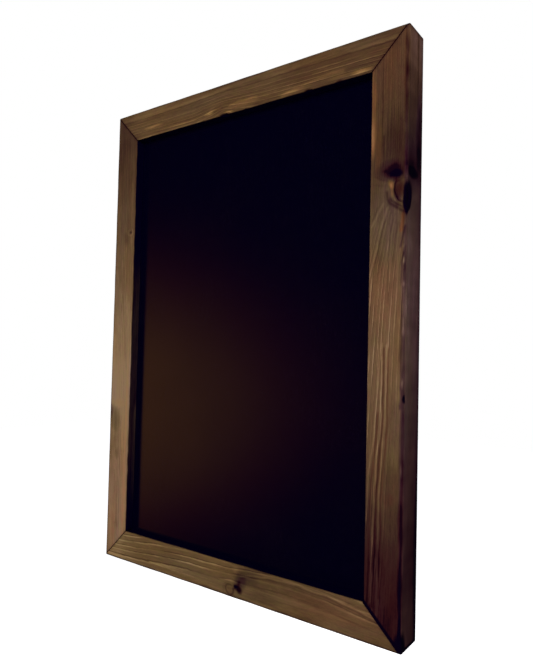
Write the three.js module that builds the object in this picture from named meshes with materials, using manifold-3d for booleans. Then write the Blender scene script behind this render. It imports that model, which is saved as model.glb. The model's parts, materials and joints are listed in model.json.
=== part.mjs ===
// Wall chalkboard: a rebated pine frame with mitred corners round a black writing panel.
// A strap hanger with a D-ring on the back of each stile carries it on two wall hooks.
// Lengths are millimetres: X to the right seen from the front, Y back to the wall, Z up.
// The origin is on the wall, midway between the hooks, at the height where they carry the rings.
import * as THREE from "three";
import { mergeVertices } from "three/addons/utils/BufferGeometryUtils.js";
import Module from "manifold-3d";

// Fits
const SEAT_GAP = 0.3; // between two pieces that lie on each other
const CUT_CLEARANCE = 0.3; // round a nail, point, screw or wire in its slot or hole
const MITRE_GAP = 0.3; // across each corner joint
const OVERRUN = 2; // how far a cut runs past the face that it opens

// Frame
const OUTER_WIDTH = 420;
const OUTER_HEIGHT = 594;
const FACE_WIDTH = 38.5; // of a member, seen from the front
const FRAME_DEPTH = 37.5;
const FRONT_ARRIS = 3; // radius of the eased outer edges of the front face
const SIGHT_ARRIS = 1; // radius of the crisper edge round the opening
const BACK_ARRIS = 2;
const REBATE_ARRIS = 0.6; // worn edge where the rebate meets the back
const REBATE_WIDTH = 9; // step that the panel lies behind, from the sight edge outwards
const LIP_DEPTH = 12; // wood left in front of the rebate
const HOOK_BELOW_TOP = 120; // from the top of the frame to the wall hooks

// Panel
const PANEL_EDGE_ROOM = 1; // between the panel and the rebate wall, for the wood to move
const SURFACE_THICKNESS = 0.8; // black writing laminate
const GLUE_LINE = 0.2;
const CORE_THICKNESS = 6; // fibreboard behind the laminate
const CORE_CHAMFER = 0.8; // along the back edges of the fibreboard

// Wedge nails across the mitres, driven from the back
const NAIL_THICKNESS = 0.6;
const NAIL_LEG = 8;
const NAIL_HEIGHT = 10;
const NAIL_SINK = 0.8; // below the back of the frame
const NAIL_OUTER_INSET = 13; // apex from the outer edges
const NAIL_INNER_INSET = 25;

// Flexible points that hold the panel against the lip
const POINT_THICKNESS = 0.5;
const POINT_WIDTH = 6;
const POINT_IN_WOOD = 8;
const POINT_OVER_PANEL = 8;
const POINT_TIP = 3; // taper of the end that goes into the wood
const POINT_CORNER = 1.5; // radius of the free end's corners
const POINT_END_INSET = 84; // first and last point from the ends of their member
const POINTS_PER_STILE = 4;
const POINTS_PER_RAIL = 3;

// Strap hangers
const STRIP_THICKNESS = 0.8; // the strap is this steel strip folded in two round the ring
const STRAP_WIDTH = 12;
const STRAP_LENGTH = 43; // from the ring's axis to the rounded end
const STRAP_SHOULDER = Math.PI / 3.4; // angle at which the front layer leaves the knuckle
const FIRST_SCREW = 20; // below the ring's axis
const SCREW_PITCH = 16;

// D-rings of round wire, whose ends meet inside the knuckle
const WIRE_DIAMETER = 2;
const RING_INNER_WIDTH = 15;
const RING_SIDE = 3; // straight side between the bar and the half round
const RING_CORNER = 2; // bend radius of the wire's centre line beside the bar
const WIRE_SPLIT = 0.5; // between the wire's two ends

// Pan head screws
const SCREW_DIAMETER = 3;
const SCREW_LENGTH = 15; // in the wood and strap, under the head
const SCREW_TIP = 4;
const SCREW_HEAD_DIAMETER = 6.4;
const SCREW_HEAD_HEIGHT = 1.9;
const SCREW_HEAD_RIM = 0.7; // straight edge below the dome
const RECESS_LENGTH = 3.4; // cross recess, tip to tip
const RECESS_WIDTH = 0.8;
const RECESS_DEPTH = 1.1;

// Rubber bumpers at the bottom corners of the back
const BUMPER_DIAMETER = 12;
const BUMPER_HEIGHT = 4.5;
const BUMPER_TAPER = 0.8; // smaller radius at the wall
const BUMPER_ROUNDING = 1;
const BUMPER_ABOVE_BOTTOM = 20;

// Facets: each arc of an outline gets twice its number
const ARRIS_ARC = 3;
const CORNER_ARC = 2;
const STRAP_END_ARC = 6;
const KNUCKLE_ARC = 10;
const WIRE_ARC = 5;
const WIRE_STEPS = 48;
const ROUND_SIDES = 24;
const HOLE_SIDES = 16;

// Derived places, shared by the pieces that meet there
const LAND_WIDTH = FACE_WIDTH - REBATE_WIDTH; // back face of a member
const BACK_Y = -(SEAT_GAP + BUMPER_HEIGHT);
const FRONT_Y = BACK_Y - FRAME_DEPTH;
const MIDDLE_Z = HOOK_BELOW_TOP - OUTER_HEIGHT / 2;
const PANEL_WIDTH = OUTER_WIDTH - 2 * (LAND_WIDTH + PANEL_EDGE_ROOM);
const PANEL_HEIGHT = OUTER_HEIGHT - 2 * (LAND_WIDTH + PANEL_EDGE_ROOM);
const SURFACE_DEPTH = LIP_DEPTH + SEAT_GAP; // from the frame's front to the writing face
const CORE_DEPTH = SURFACE_DEPTH + SURFACE_THICKNESS + GLUE_LINE;
const POINT_DEPTH = CORE_DEPTH + CORE_THICKNESS + SEAT_GAP;
const LAND_MIDDLE = LAND_WIDTH / 2; // hangers and bumpers sit on the middle of the back land
const WIRE_RADIUS = WIRE_DIAMETER / 2;
const SCREW_RADIUS = SCREW_DIAMETER / 2;
const KNUCKLE_HOLE = WIRE_RADIUS + CUT_CLEARANCE;
const KNUCKLE_RADIUS = KNUCKLE_HOLE + STRIP_THICKNESS;
const AXIS_HEIGHT = SEAT_GAP + KNUCKLE_RADIUS; // of the ring's axis above the back of the stile
const STRAP_FACE = SEAT_GAP + 2 * STRIP_THICKNESS; // outer face of the strap above the stile
const RING_HALF = RING_INNER_WIDTH / 2 + WIRE_RADIUS; // to the middle of the wire
const RING_REACH = RING_SIDE + RING_HALF;
const RING_AXIS_Z = -(RING_REACH - WIRE_RADIUS); // the ring turned up has its crown on the hook
const CROSSING = RING_SIDE + Math.sqrt(RING_HALF ** 2 - (STRAP_WIDTH / 2) ** 2);
const RING_LEAN = Math.asin((STRAP_FACE + SEAT_GAP + WIRE_RADIUS - AXIS_HEIGHT) / CROSSING);
const SCREW_DROPS = [FIRST_SCREW, FIRST_SCREW + SCREW_PITCH];

const wasm = await Module();
wasm.setup();

const FINISHES = {
  stained_pine: { color: 0x664a33, roughness: 0.62, metalness: 0 },
  chalk_black: { color: 0x0b090c, roughness: 0.38, metalness: 0 },
  fibreboard: { color: 0x9b7a55, roughness: 0.85, metalness: 0 },
  zinc_steel: { color: 0xb9bcc0, roughness: 0.34, metalness: 1 },
  dark_steel: { color: 0x55524f, roughness: 0.5, metalness: 1 },
  rubber: { color: 0x1b1a19, roughness: 0.8, metalness: 0 },
};

function piece(name, geometry, finish) {
  const mesh = new THREE.Mesh(geometry, new THREE.MeshStandardMaterial(FINISHES[finish]));
  mesh.name = name;
  return mesh;
}

// Solids for cutting and joining

function solidOf(geometry) {
  const bare = geometry.clone();
  bare.deleteAttribute("normal");
  bare.deleteAttribute("uv");
  const merged = mergeVertices(bare);
  return new wasm.Manifold(
    new wasm.Mesh({
      numProp: 3,
      vertProperties: new Float32Array(merged.attributes.position.array),
      triVerts: new Uint32Array(merged.index.array),
    }),
  );
}

function geometryOf(solid) {
  const mesh = solid.getMesh();
  const geometry = new THREE.BufferGeometry();
  geometry.setAttribute("position", new THREE.BufferAttribute(mesh.vertProperties, 3));
  geometry.setIndex(new THREE.BufferAttribute(mesh.triVerts, 1));
  const faceted = geometry.toNonIndexed();
  faceted.computeVertexNormals();
  return faceted;
}

function cutAway(geometry, cutters) {
  const body = cutters.reduce((left, cutter) => left.subtract(solidOf(cutter)), solidOf(geometry));
  return geometryOf(body);
}

// A box from its lowest to its highest corner.
function boxBetween([x0, y0, z0], [x1, y1, z1]) {
  const box = new THREE.BoxGeometry(x1 - x0, y1 - y0, z1 - z0);
  return box.translate((x0 + x1) / 2, (y0 + y1) / 2, (z0 + z1) / 2);
}

// A round hole along Y, from depth y0 to y1, at (x, z).
function holeAlongY(radius, y0, y1, x, z) {
  const drill = new THREE.CylinderGeometry(radius, radius, y1 - y0, HOLE_SIDES);
  return drill.translate(x, (y0 + y1) / 2, z);
}

// A flat outline in X and Z, with its thickness along Y from 0 to `thickness`.
function plateInXZ(outline, thickness, curveSegments) {
  const plate = new THREE.ExtrudeGeometry(outline, {
    depth: thickness,
    bevelEnabled: false,
    curveSegments,
  });
  return plate.rotateX(Math.PI / 2).translate(0, thickness, 0);
}

// Frame members. In a member's own frame X runs inwards from its outer edge, Y runs back from
// the front face and Z runs along it from the middle.

function memberSection() {
  const section = new THREE.Shape();
  const sight = FACE_WIDTH - SIGHT_ARRIS;
  section.moveTo(FRONT_ARRIS, 0);
  section.lineTo(sight, 0);
  section.absarc(sight, SIGHT_ARRIS, SIGHT_ARRIS, -Math.PI / 2, 0);
  section.lineTo(FACE_WIDTH, LIP_DEPTH);
  section.lineTo(LAND_WIDTH, LIP_DEPTH);
  section.lineTo(LAND_WIDTH, FRAME_DEPTH - REBATE_ARRIS);
  section.lineTo(LAND_WIDTH - REBATE_ARRIS, FRAME_DEPTH);
  section.lineTo(BACK_ARRIS, FRAME_DEPTH);
  section.absarc(BACK_ARRIS, FRAME_DEPTH - BACK_ARRIS, BACK_ARRIS, Math.PI / 2, Math.PI);
  section.lineTo(0, FRONT_ARRIS);
  section.absarc(FRONT_ARRIS, FRONT_ARRIS, FRONT_ARRIS, Math.PI, 1.5 * Math.PI);
  return section;
}

// The section run along the member, with both ends cut at 45 degrees: a point of the section
// ends as much earlier as it lies further in from the outer edge.
function mitredBar(length) {
  const bar = new THREE.ExtrudeGeometry(memberSection(), {
    depth: 1,
    bevelEnabled: false,
    curveSegments: ARRIS_ARC,
  });
  const pullBack = (MITRE_GAP / 2) * Math.SQRT2;
  const points = bar.attributes.position;
  for (let i = 0; i < points.count; i++) {
    const end = points.getZ(i) > 0 ? 1 : -1;
    points.setZ(i, end * (length / 2 - points.getX(i) - pullBack));
  }
  return bar;
}

// The slot for the leg of a wedge nail that lies in this member, at the end named by its sign.
function nailSlot(length, inset, end) {
  const side = NAIL_THICKNESS / 2 + CUT_CLEARANCE;
  const z = end * (length / 2 - inset);
  return boxBetween(
    [inset - NAIL_LEG - CUT_CLEARANCE, FRAME_DEPTH - NAIL_SINK - NAIL_HEIGHT - CUT_CLEARANCE, z - side],
    [inset + side, FRAME_DEPTH + OVERRUN, z + side],
  );
}

// The slot in the rebate wall for the sharp half of a flexible point.
function pointSlot(z) {
  const side = POINT_WIDTH / 2 + CUT_CLEARANCE;
  return boxBetween(
    [LAND_WIDTH - POINT_IN_WOOD - CUT_CLEARANCE, POINT_DEPTH - CUT_CLEARANCE, z - side],
    [LAND_WIDTH + OVERRUN, POINT_DEPTH + POINT_THICKNESS + CUT_CLEARANCE, z + side],
  );
}

// A pilot hole from the back land, at z along the member.
function pilotHole(z) {
  const bottom = FRAME_DEPTH + STRAP_FACE - SCREW_LENGTH - CUT_CLEARANCE;
  return holeAlongY(SCREW_RADIUS + CUT_CLEARANCE, bottom, FRAME_DEPTH + OVERRUN, LAND_MIDDLE, z);
}

function pointPlaces(length, count) {
  const first = -(length / 2 - POINT_END_INSET);
  return Array.from({ length: count }, (_, i) => first + (i * -2 * first) / (count - 1));
}

function memberGeometry(length, pointZs, pilotZs) {
  const nailSlots = [-1, 1].flatMap((end) =>
    [NAIL_OUTER_INSET, NAIL_INNER_INSET].map((inset) => nailSlot(length, inset, end)),
  );
  return cutAway(mitredBar(length), [
    ...nailSlots,
    ...pointZs.map(pointSlot),
    ...pilotZs.map(pilotHole),
  ]);
}

// A wedge nail: two legs at right angles from the apex, one into each member, opening outwards.
function nailGeometry() {
  const half = NAIL_THICKNESS / 2;
  const outline = new THREE.Shape([
    new THREE.Vector2(half, -half),
    new THREE.Vector2(half, NAIL_LEG),
    new THREE.Vector2(-half, NAIL_LEG),
    new THREE.Vector2(-half, half),
    new THREE.Vector2(-NAIL_LEG, half),
    new THREE.Vector2(-NAIL_LEG, -half),
  ]);
  return plateInXZ(outline, NAIL_HEIGHT);
}

// A flexible point: the tapered end lies in the wood, the round one over the panel.
function pointGeometry() {
  const half = POINT_WIDTH / 2;
  const free = POINT_OVER_PANEL - POINT_CORNER;
  const outline = new THREE.Shape();
  outline.moveTo(-POINT_IN_WOOD, -half / 2);
  outline.lineTo(-POINT_IN_WOOD + POINT_TIP, -half);
  outline.lineTo(free, -half);
  outline.absarc(free, -half + POINT_CORNER, POINT_CORNER, -Math.PI / 2, 0);
  outline.absarc(free, half - POINT_CORNER, POINT_CORNER, 0, Math.PI / 2);
  outline.lineTo(-POINT_IN_WOOD + POINT_TIP, half);
  outline.lineTo(-POINT_IN_WOOD, half / 2);
  return plateInXZ(outline, POINT_THICKNESS, CORNER_ARC);
}

// Each side of the frame is a member with its points and the two nails of the corner at the
// far end of its Z. Turning about Y by quarters leads from one side to the next.
const SIDES = [
  { member: "left_stile", corner: "top_left", points: POINTS_PER_STILE, up: 1 },
  { member: "top_rail", corner: "top_right", points: POINTS_PER_RAIL, up: 0 },
  { member: "right_stile", corner: "bottom_right", points: POINTS_PER_STILE, up: -1 },
  { member: "bottom_rail", corner: "bottom_left", points: POINTS_PER_RAIL, up: 0 },
];

function frameSide({ member, corner, points, up }, quarter) {
  const upright = up !== 0;
  const length = upright ? OUTER_HEIGHT : OUTER_WIDTH;
  const reach = (upright ? OUTER_WIDTH : OUTER_HEIGHT) / 2;
  const turn = (quarter * Math.PI) / 2;
  const pointZs = pointPlaces(length, points);
  const pilotZs = upright ? SCREW_DROPS.map((drop) => up * (RING_AXIS_Z - drop - MIDDLE_Z)) : [];

  const side = new THREE.Group();
  side.position.set(-reach * Math.cos(turn), FRONT_Y, MIDDLE_Z + reach * Math.sin(turn));
  side.rotation.y = turn;
  side.add(piece(member, memberGeometry(length, pointZs, pilotZs), "stained_pine"));
  pointZs.forEach((z, i) => {
    const point = piece(`${member}_point_${i + 1}`, pointGeometry(), "zinc_steel");
    point.position.set(LAND_WIDTH, POINT_DEPTH, z);
    side.add(point);
  });
  [NAIL_OUTER_INSET, NAIL_INNER_INSET].forEach((inset, i) => {
    const nail = piece(`${corner}_wedge_nail_${i + 1}`, nailGeometry(), "dark_steel");
    nail.position.set(inset, FRAME_DEPTH - NAIL_SINK - NAIL_HEIGHT, length / 2 - inset);
    side.add(nail);
  });
  return side;
}

// Panel: a sheet of black laminate on a fibreboard core, both loose in the rebate.

function writingSurface() {
  const sheet = new THREE.BoxGeometry(PANEL_WIDTH, SURFACE_THICKNESS, PANEL_HEIGHT);
  const mesh = piece("writing_surface", sheet, "chalk_black");
  mesh.position.set(0, FRONT_Y + SURFACE_DEPTH + SURFACE_THICKNESS / 2, MIDDLE_Z);
  return mesh;
}

function rectangle(width, height) {
  const outline = new THREE.Shape();
  outline.moveTo(-width / 2, -height / 2);
  outline.lineTo(width / 2, -height / 2);
  outline.lineTo(width / 2, height / 2);
  outline.lineTo(-width / 2, height / 2);
  return outline;
}

// The core's back edges are chamfered: its far outline is drawn in by the chamfer.
function panelCore() {
  const core = new THREE.ExtrudeGeometry(
    rectangle(PANEL_WIDTH - 2 * CORE_CHAMFER, PANEL_HEIGHT - 2 * CORE_CHAMFER),
    {
      depth: CORE_THICKNESS - CORE_CHAMFER,
      bevelThickness: CORE_CHAMFER,
      bevelSize: CORE_CHAMFER,
      bevelSegments: 1,
    },
  );
  const points = core.attributes.position;
  for (let i = 0; i < points.count; i++) {
    const onFront = points.getZ(i) <= 0;
    points.setZ(i, onFront ? 0 : points.getZ(i));
  }
  return core;
}

// Strap hanger. In its own frame the ring's axis is on X at AXIS_HEIGHT above the back of the
// stile, which is the plane Y = 0, and the strap runs down from there.

// The folded strip seen from its side: flat back layer, knuckle, and front layer lying on it.
function strapProfile() {
  const profile = new THREE.Shape();
  const shoulderY = AXIS_HEIGHT + KNUCKLE_RADIUS * Math.cos(STRAP_SHOULDER);
  const run = (shoulderY - STRAP_FACE) / Math.sin(STRAP_SHOULDER);
  const meetZ = -KNUCKLE_RADIUS * Math.sin(STRAP_SHOULDER) - run * Math.cos(STRAP_SHOULDER);
  profile.moveTo(SEAT_GAP, -STRAP_LENGTH);
  profile.lineTo(STRAP_FACE, -STRAP_LENGTH);
  profile.lineTo(STRAP_FACE, meetZ);
  profile.absarc(AXIS_HEIGHT, 0, KNUCKLE_RADIUS, -STRAP_SHOULDER, Math.PI);
  const hole = new THREE.Path();
  hole.absarc(AXIS_HEIGHT, 0, KNUCKLE_HOLE, 0, 2 * Math.PI);
  profile.holes.push(hole);
  return profile;
}

// The strap seen from behind: straight sides and a half round lower end.
function strapFace() {
  const half = STRAP_WIDTH / 2;
  const face = new THREE.Shape();
  face.moveTo(half, KNUCKLE_RADIUS + OVERRUN);
  face.lineTo(-half, KNUCKLE_RADIUS + OVERRUN);
  face.absarc(0, -STRAP_LENGTH + half, half, Math.PI, 2 * Math.PI);
  return face;
}

function strapGeometry() {
  const folded = new THREE.ExtrudeGeometry(strapProfile(), {
    depth: STRAP_WIDTH + 2 * OVERRUN,
    bevelEnabled: false,
    curveSegments: KNUCKLE_ARC,
  });
  const alongY = new THREE.Vector3(0, 1, 0);
  const alongZ = new THREE.Vector3(0, 0, 1);
  const alongX = new THREE.Vector3(1, 0, 0);
  folded.applyMatrix4(new THREE.Matrix4().makeBasis(alongY, alongZ, alongX));
  folded.translate(-STRAP_WIDTH / 2 - OVERRUN, 0, 0);
  const depth = AXIS_HEIGHT + KNUCKLE_RADIUS + 2 * OVERRUN;
  const face = plateInXZ(strapFace(), depth, STRAP_END_ARC).translate(0, -OVERRUN, 0);
  const strap = solidOf(folded).intersect(solidOf(face));
  const holes = SCREW_DROPS.map((drop) =>
    holeAlongY(SCREW_RADIUS + CUT_CLEARANCE, -OVERRUN, STRAP_FACE + OVERRUN, 0, -drop),
  );
  return cutAway(geometryOf(strap), holes);
}

// The ring's wire from one end at the middle of the bar, round the D and back to the other.
class RingLine extends THREE.CurvePath {
  constructor() {
    super();
    const bend = (cx, cy, radius, from, to) => {
      const arc = new THREE.EllipseCurve(cx, cy, radius, radius, from, to, true);
      const line = new THREE.Curve();
      line.getPoint = (t) => {
        const p = arc.getPoint(t);
        return new THREE.Vector3(p.x, 0, p.y);
      };
      return line;
    };
    const straight = (x0, z0, x1, z1) =>
      new THREE.LineCurve3(new THREE.Vector3(x0, 0, z0), new THREE.Vector3(x1, 0, z1));
    const bar = RING_HALF - RING_CORNER;
    this.add(straight(WIRE_SPLIT / 2, 0, bar, 0));
    this.add(bend(bar, -RING_CORNER, RING_CORNER, Math.PI / 2, 0));
    this.add(straight(RING_HALF, -RING_CORNER, RING_HALF, -RING_SIDE));
    this.add(bend(0, -RING_SIDE, RING_HALF, 0, -Math.PI));
    this.add(straight(-RING_HALF, -RING_SIDE, -RING_HALF, -RING_CORNER));
    this.add(bend(-bar, -RING_CORNER, RING_CORNER, Math.PI, Math.PI / 2));
    this.add(straight(-bar, 0, -WIRE_SPLIT / 2, 0));
  }
}

function ringGeometry() {
  const wire = new THREE.Shape();
  wire.absarc(0, 0, WIRE_RADIUS, 0, 2 * Math.PI);
  return new THREE.ExtrudeGeometry(wire, {
    steps: WIRE_STEPS,
    extrudePath: new RingLine(),
    curveSegments: WIRE_ARC,
  });
}

// A screw with its head's underside at Y = 0 and its shank running down Y.
function screwGeometry() {
  const outline = new THREE.Path();
  const headRadius = SCREW_HEAD_DIAMETER / 2;
  const dome = SCREW_HEAD_HEIGHT - SCREW_HEAD_RIM;
  outline.moveTo(0, -SCREW_LENGTH);
  outline.lineTo(SCREW_RADIUS, -SCREW_LENGTH + SCREW_TIP);
  outline.lineTo(SCREW_RADIUS, 0);
  outline.lineTo(headRadius, 0);
  outline.lineTo(headRadius, SCREW_HEAD_RIM);
  outline.absellipse(0, SCREW_HEAD_RIM, headRadius, dome, 0, Math.PI / 2);
  const turned = new THREE.LatheGeometry(outline.getPoints(CORNER_ARC), ROUND_SIDES);
  const floor = SCREW_HEAD_HEIGHT - RECESS_DEPTH;
  const top = SCREW_HEAD_HEIGHT + OVERRUN;
  const long = RECESS_LENGTH / 2;
  const short = RECESS_WIDTH / 2;
  return cutAway(turned, [
    boxBetween([-long, floor, -short], [long, top, short]),
    boxBetween([-short, floor, -long], [short, top, long]),
  ]);
}

function hanger(name, x) {
  const group = new THREE.Group();
  group.position.set(x, BACK_Y, RING_AXIS_Z);
  group.add(piece(`${name}_hanger_strap`, strapGeometry(), "zinc_steel"));
  const ring = piece(`${name}_hanger_ring`, ringGeometry(), "zinc_steel");
  ring.position.y = AXIS_HEIGHT;
  ring.rotation.x = RING_LEAN;
  group.add(ring);
  SCREW_DROPS.forEach((drop, i) => {
    const screw = piece(`${name}_hanger_screw_${i + 1}`, screwGeometry(), "zinc_steel");
    screw.position.set(0, STRAP_FACE + SEAT_GAP, -drop);
    group.add(screw);
  });
  return group;
}

// A bumper standing on the back of the stile, its narrower face on the wall.
function bumper(name, x) {
  const base = BUMPER_DIAMETER / 2;
  const face = base - BUMPER_TAPER;
  const outline = new THREE.Path();
  outline.moveTo(0, 0);
  outline.lineTo(base, 0);
  outline.lineTo(face, BUMPER_HEIGHT - BUMPER_ROUNDING);
  outline.absarc(face - BUMPER_ROUNDING, BUMPER_HEIGHT - BUMPER_ROUNDING, BUMPER_ROUNDING, 0, Math.PI / 2);
  outline.lineTo(0, BUMPER_HEIGHT);
  const turned = new THREE.LatheGeometry(outline.getPoints(CORNER_ARC), ROUND_SIDES);
  const mesh = piece(`${name}_bumper`, turned, "rubber");
  mesh.position.set(x, BACK_Y + SEAT_GAP, MIDDLE_Z - OUTER_HEIGHT / 2 + BUMPER_ABOVE_BOTTOM);
  return mesh;
}

const chalkboard = new THREE.Group();
SIDES.forEach((side, quarter) => chalkboard.add(frameSide(side, quarter)));
chalkboard.add(writingSurface());
const core = piece("panel_core", panelCore(), "fibreboard");
core.rotation.x = -Math.PI / 2;
core.position.set(0, FRONT_Y + CORE_DEPTH, MIDDLE_Z);
chalkboard.add(core);
for (const [name, sign] of [["left", -1], ["right", 1]]) {
  const x = sign * (OUTER_WIDTH / 2 - LAND_MIDDLE);
  chalkboard.add(hanger(name, x));
  chalkboard.add(bumper(name, x));
}

export default chalkboard;
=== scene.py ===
import json
import math

import bpy
import numpy as np
from mathutils import Matrix, Vector


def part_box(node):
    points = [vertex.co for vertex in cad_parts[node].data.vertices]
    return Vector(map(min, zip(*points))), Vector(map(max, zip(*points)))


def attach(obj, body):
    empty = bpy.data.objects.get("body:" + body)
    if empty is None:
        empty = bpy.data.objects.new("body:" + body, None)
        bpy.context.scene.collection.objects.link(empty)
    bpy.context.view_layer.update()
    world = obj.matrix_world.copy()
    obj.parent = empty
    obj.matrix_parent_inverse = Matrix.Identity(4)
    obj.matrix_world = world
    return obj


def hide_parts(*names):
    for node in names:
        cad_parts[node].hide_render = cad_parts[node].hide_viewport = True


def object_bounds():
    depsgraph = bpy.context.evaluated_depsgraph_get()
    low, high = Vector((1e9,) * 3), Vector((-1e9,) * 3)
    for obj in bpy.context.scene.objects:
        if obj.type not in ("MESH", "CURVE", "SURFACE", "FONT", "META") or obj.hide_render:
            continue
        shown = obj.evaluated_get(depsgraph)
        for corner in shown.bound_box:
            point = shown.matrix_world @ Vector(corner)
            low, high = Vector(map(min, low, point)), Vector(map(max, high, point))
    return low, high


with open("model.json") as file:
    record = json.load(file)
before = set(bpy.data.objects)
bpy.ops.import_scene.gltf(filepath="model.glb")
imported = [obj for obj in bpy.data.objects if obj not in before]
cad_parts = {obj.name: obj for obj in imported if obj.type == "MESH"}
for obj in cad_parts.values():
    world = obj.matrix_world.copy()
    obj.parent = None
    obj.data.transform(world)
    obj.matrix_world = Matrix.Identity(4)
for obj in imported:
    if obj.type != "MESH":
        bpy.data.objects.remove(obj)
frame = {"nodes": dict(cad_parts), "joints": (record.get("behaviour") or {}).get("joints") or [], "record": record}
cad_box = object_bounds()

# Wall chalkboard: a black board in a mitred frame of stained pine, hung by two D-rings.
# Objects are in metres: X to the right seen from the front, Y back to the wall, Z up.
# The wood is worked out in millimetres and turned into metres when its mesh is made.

MM = 0.001

# Camera, solved from the corners of the frame in the photograph
CAMERA_PLACE = Vector((0.42519, -0.5576, -0.19956))
CAMERA_YAW = 0.62984
CAMERA_PITCH = 0.0355
CAMERA_ROLL = 0.02287
FOCAL_PIXELS = 581.4
LONG_SIDE_PIXELS = 666
SENSOR = 36.0

# Room
FLOOR_BELOW_ORIGIN = 1.45
FLOOR_SIZE = 16.0
FLOOR_LIFT = 0.90  # what the camera sees on the floor besides the light that falls on it
KEY_PLACE = Vector((0.55, -2.0, 0.45))
KEY_SIZE = 1.1
KEY_WATTS = 37.0
KEY_COLOUR = (1.0, 0.96, 0.92)
BACK_LAMP_PLACE = Vector((-0.9, 1.8, 0.5))
BACK_LAMP_SIZE = 1.2
BACK_LAMP_WATTS = 34.0
BACK_LAMP_COLOUR = (1.0, 0.98, 0.96)
AMBIENT_COLOUR = (0.86, 0.88, 1.0)
AMBIENT = 0.22

# The room as shiny things see it: white behind the board as seen from the camera, grey at
# the back on the right, dim in front, and a warm dim glow in front on the left. A part of the
# room begins and is full at two cosines of the angle from its own way.
BACKDROP_WAY = (-math.sin(CAMERA_YAW), math.cos(CAMERA_YAW), 0.0)
BACKDROP_COSINES = (0.76, 0.93)
BACK_RIGHT_WAY = (0.966, 0.259, 0.0)
BACK_RIGHT_COSINES = (0.60, 0.90)
BACK_RIGHT_ROOM = 0.40
FRONT_ROOM = 0.002
GLOW_WAY = (-0.79, -0.61, -0.098)
GLOW_REACH = 0.21
GLOW_HEIGHT = 0.148
GLOW_RED = 0.74
GLOW_GREEN = 0.30
GLOW_BLUE = GLOW_GREEN * 0.14
RED_FADE = (1.45, -1.0)  # power and rate at which the glow fades from its middle
GREEN_FADE = (1.9, -1.5)

# Timber section, as the frame's members are planed
FACE_WIDTH = 38.5
FRAME_DEPTH = 37.5
FRONT_ARRIS = 3.0
SIGHT_ARRIS = 1.0
BACK_ARRIS = 2.0
REBATE_ARRIS = 0.6
REBATE_WIDTH = 9.0
LIP_DEPTH = 12.0
LAND_WIDTH = FACE_WIDTH - REBATE_WIDTH

# Spacing of the timber's mesh
FRONT_STEP = 0.62
SIDE_STEP = 0.8
REVEAL_STEP = 0.9
HIDDEN_STEP = 2.2
BACK_STEP = 1.4
LENGTH_STEP = 1.2
ARRIS_STEPS = 8
MITRE_STATIONS = (0.0, 0.2, 0.45, 0.8, 1.3, 2.0, 2.9)
MITRE_TURN = 60.0  # length over which the mesh turns from square to the mitre
GLUE_GAP = 0.06

# Relief of the timber below the planed size
PLANED_OFF = 0.14
RAISED_GRAIN = 0.05
UNEVEN_PLANING = 0.03
FINE_PLANING = 0.015
KNOT_STANDS_OUT = 0.10
ARRIS_WEAR = 0.08
HOLLOW_RAGGED = 0.25
HOLLOW_FADE = 1.5
EASED_MITRE = 0.45
EASED_MITRE_WIDTH = 0.9
EASED_MITRE_FADE = 1.6
LEAST_RELIEF = 0.02
GRAIN_RISES = (0.5, 0.75)  # share of the way from ring to ring
GRAIN_FALLS = (0.95, 0.82)
KNOT_RISES = (1.0, -2.0)  # distance from the knot's edge, in millimetres
WORN_ARRIS = (6.0, 1.5)
HOLLOW_RISES = (0.05, 0.7)

# Where each surface of the section passes into the next, in u or v, or in v less u at the side
BACK_BEGINS = (FRAME_DEPTH - 3.0, FRAME_DEPTH - 0.8)
BACK_INSIDE = (0.3, 1.8)
SIDE_BEGINS = (-3.4, -1.6)
SIDE_INSIDE = (4.6, 3.6)
REVEAL_ENDS = (LIP_DEPTH + 2.0, LIP_DEPTH)
REBATE_BEGINS = (LIP_DEPTH - 1.0, LIP_DEPTH + 1.0)
REBATE_INSIDE = (LAND_WIDTH - 1.5, LAND_WIDTH)
FIGURE_CHANGES = (FACE_WIDTH * 0.25, FACE_WIDTH * 0.75)

# Slits of the wedge nails in the back of the timber
NAIL_INSETS = (13.0, 25.0)
NAIL_LEG = 8.0
NAIL_DEPTH = 11.2
SLIT_HALF = 0.42
CUT_OVERRUN = 1.0

# Strap hangers, from the back of the stile outwards
SEAT_GAP = 0.3
STRIP_THICKNESS = 0.8
STRIP_EDGE = 0.16  # rounding of the strip's edges
EDGE_POINTS = 5
STRIP_SQUEEZE = 0.03  # between the folded strip's two layers
STRAP_WIDTH = 12.0
STRAP_LENGTH = 43.0
STRAP_SHOULDER = 180 / 3.4  # degrees below the ring's axis at which the strip leaves the knuckle
KNUCKLE_HOLE = 1.3
KNUCKLE_STEPS = 34
STRAP_END_STEP = 0.3
STRAP_STEP = 2.0
SHOULDER_STEP = 0.6
NARROWEST_END = 0.02  # share of the strap's round end that its last section keeps
SCREW_DROPS = (20.0, 36.0)
DRILL_CLEARANCE = 0.3
DRILL_REACH = 5.0
DRILL_SIDES = 32

# D-rings
WIRE_RADIUS = 1.0
WIRE_SIDES = 20
WIRE_END = 0.2  # how much thinner the wire is at its cut ends
WIRE_SPLIT = 0.5
WIRE_STEP = 0.5
RING_INNER_WIDTH = 15.0
RING_SIDE = 3.0
RING_CORNER = 2.0
CORNER_STEPS = 10
BOW_STEPS = 48
RING_HALF = RING_INNER_WIDTH / 2 + WIRE_RADIUS

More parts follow.
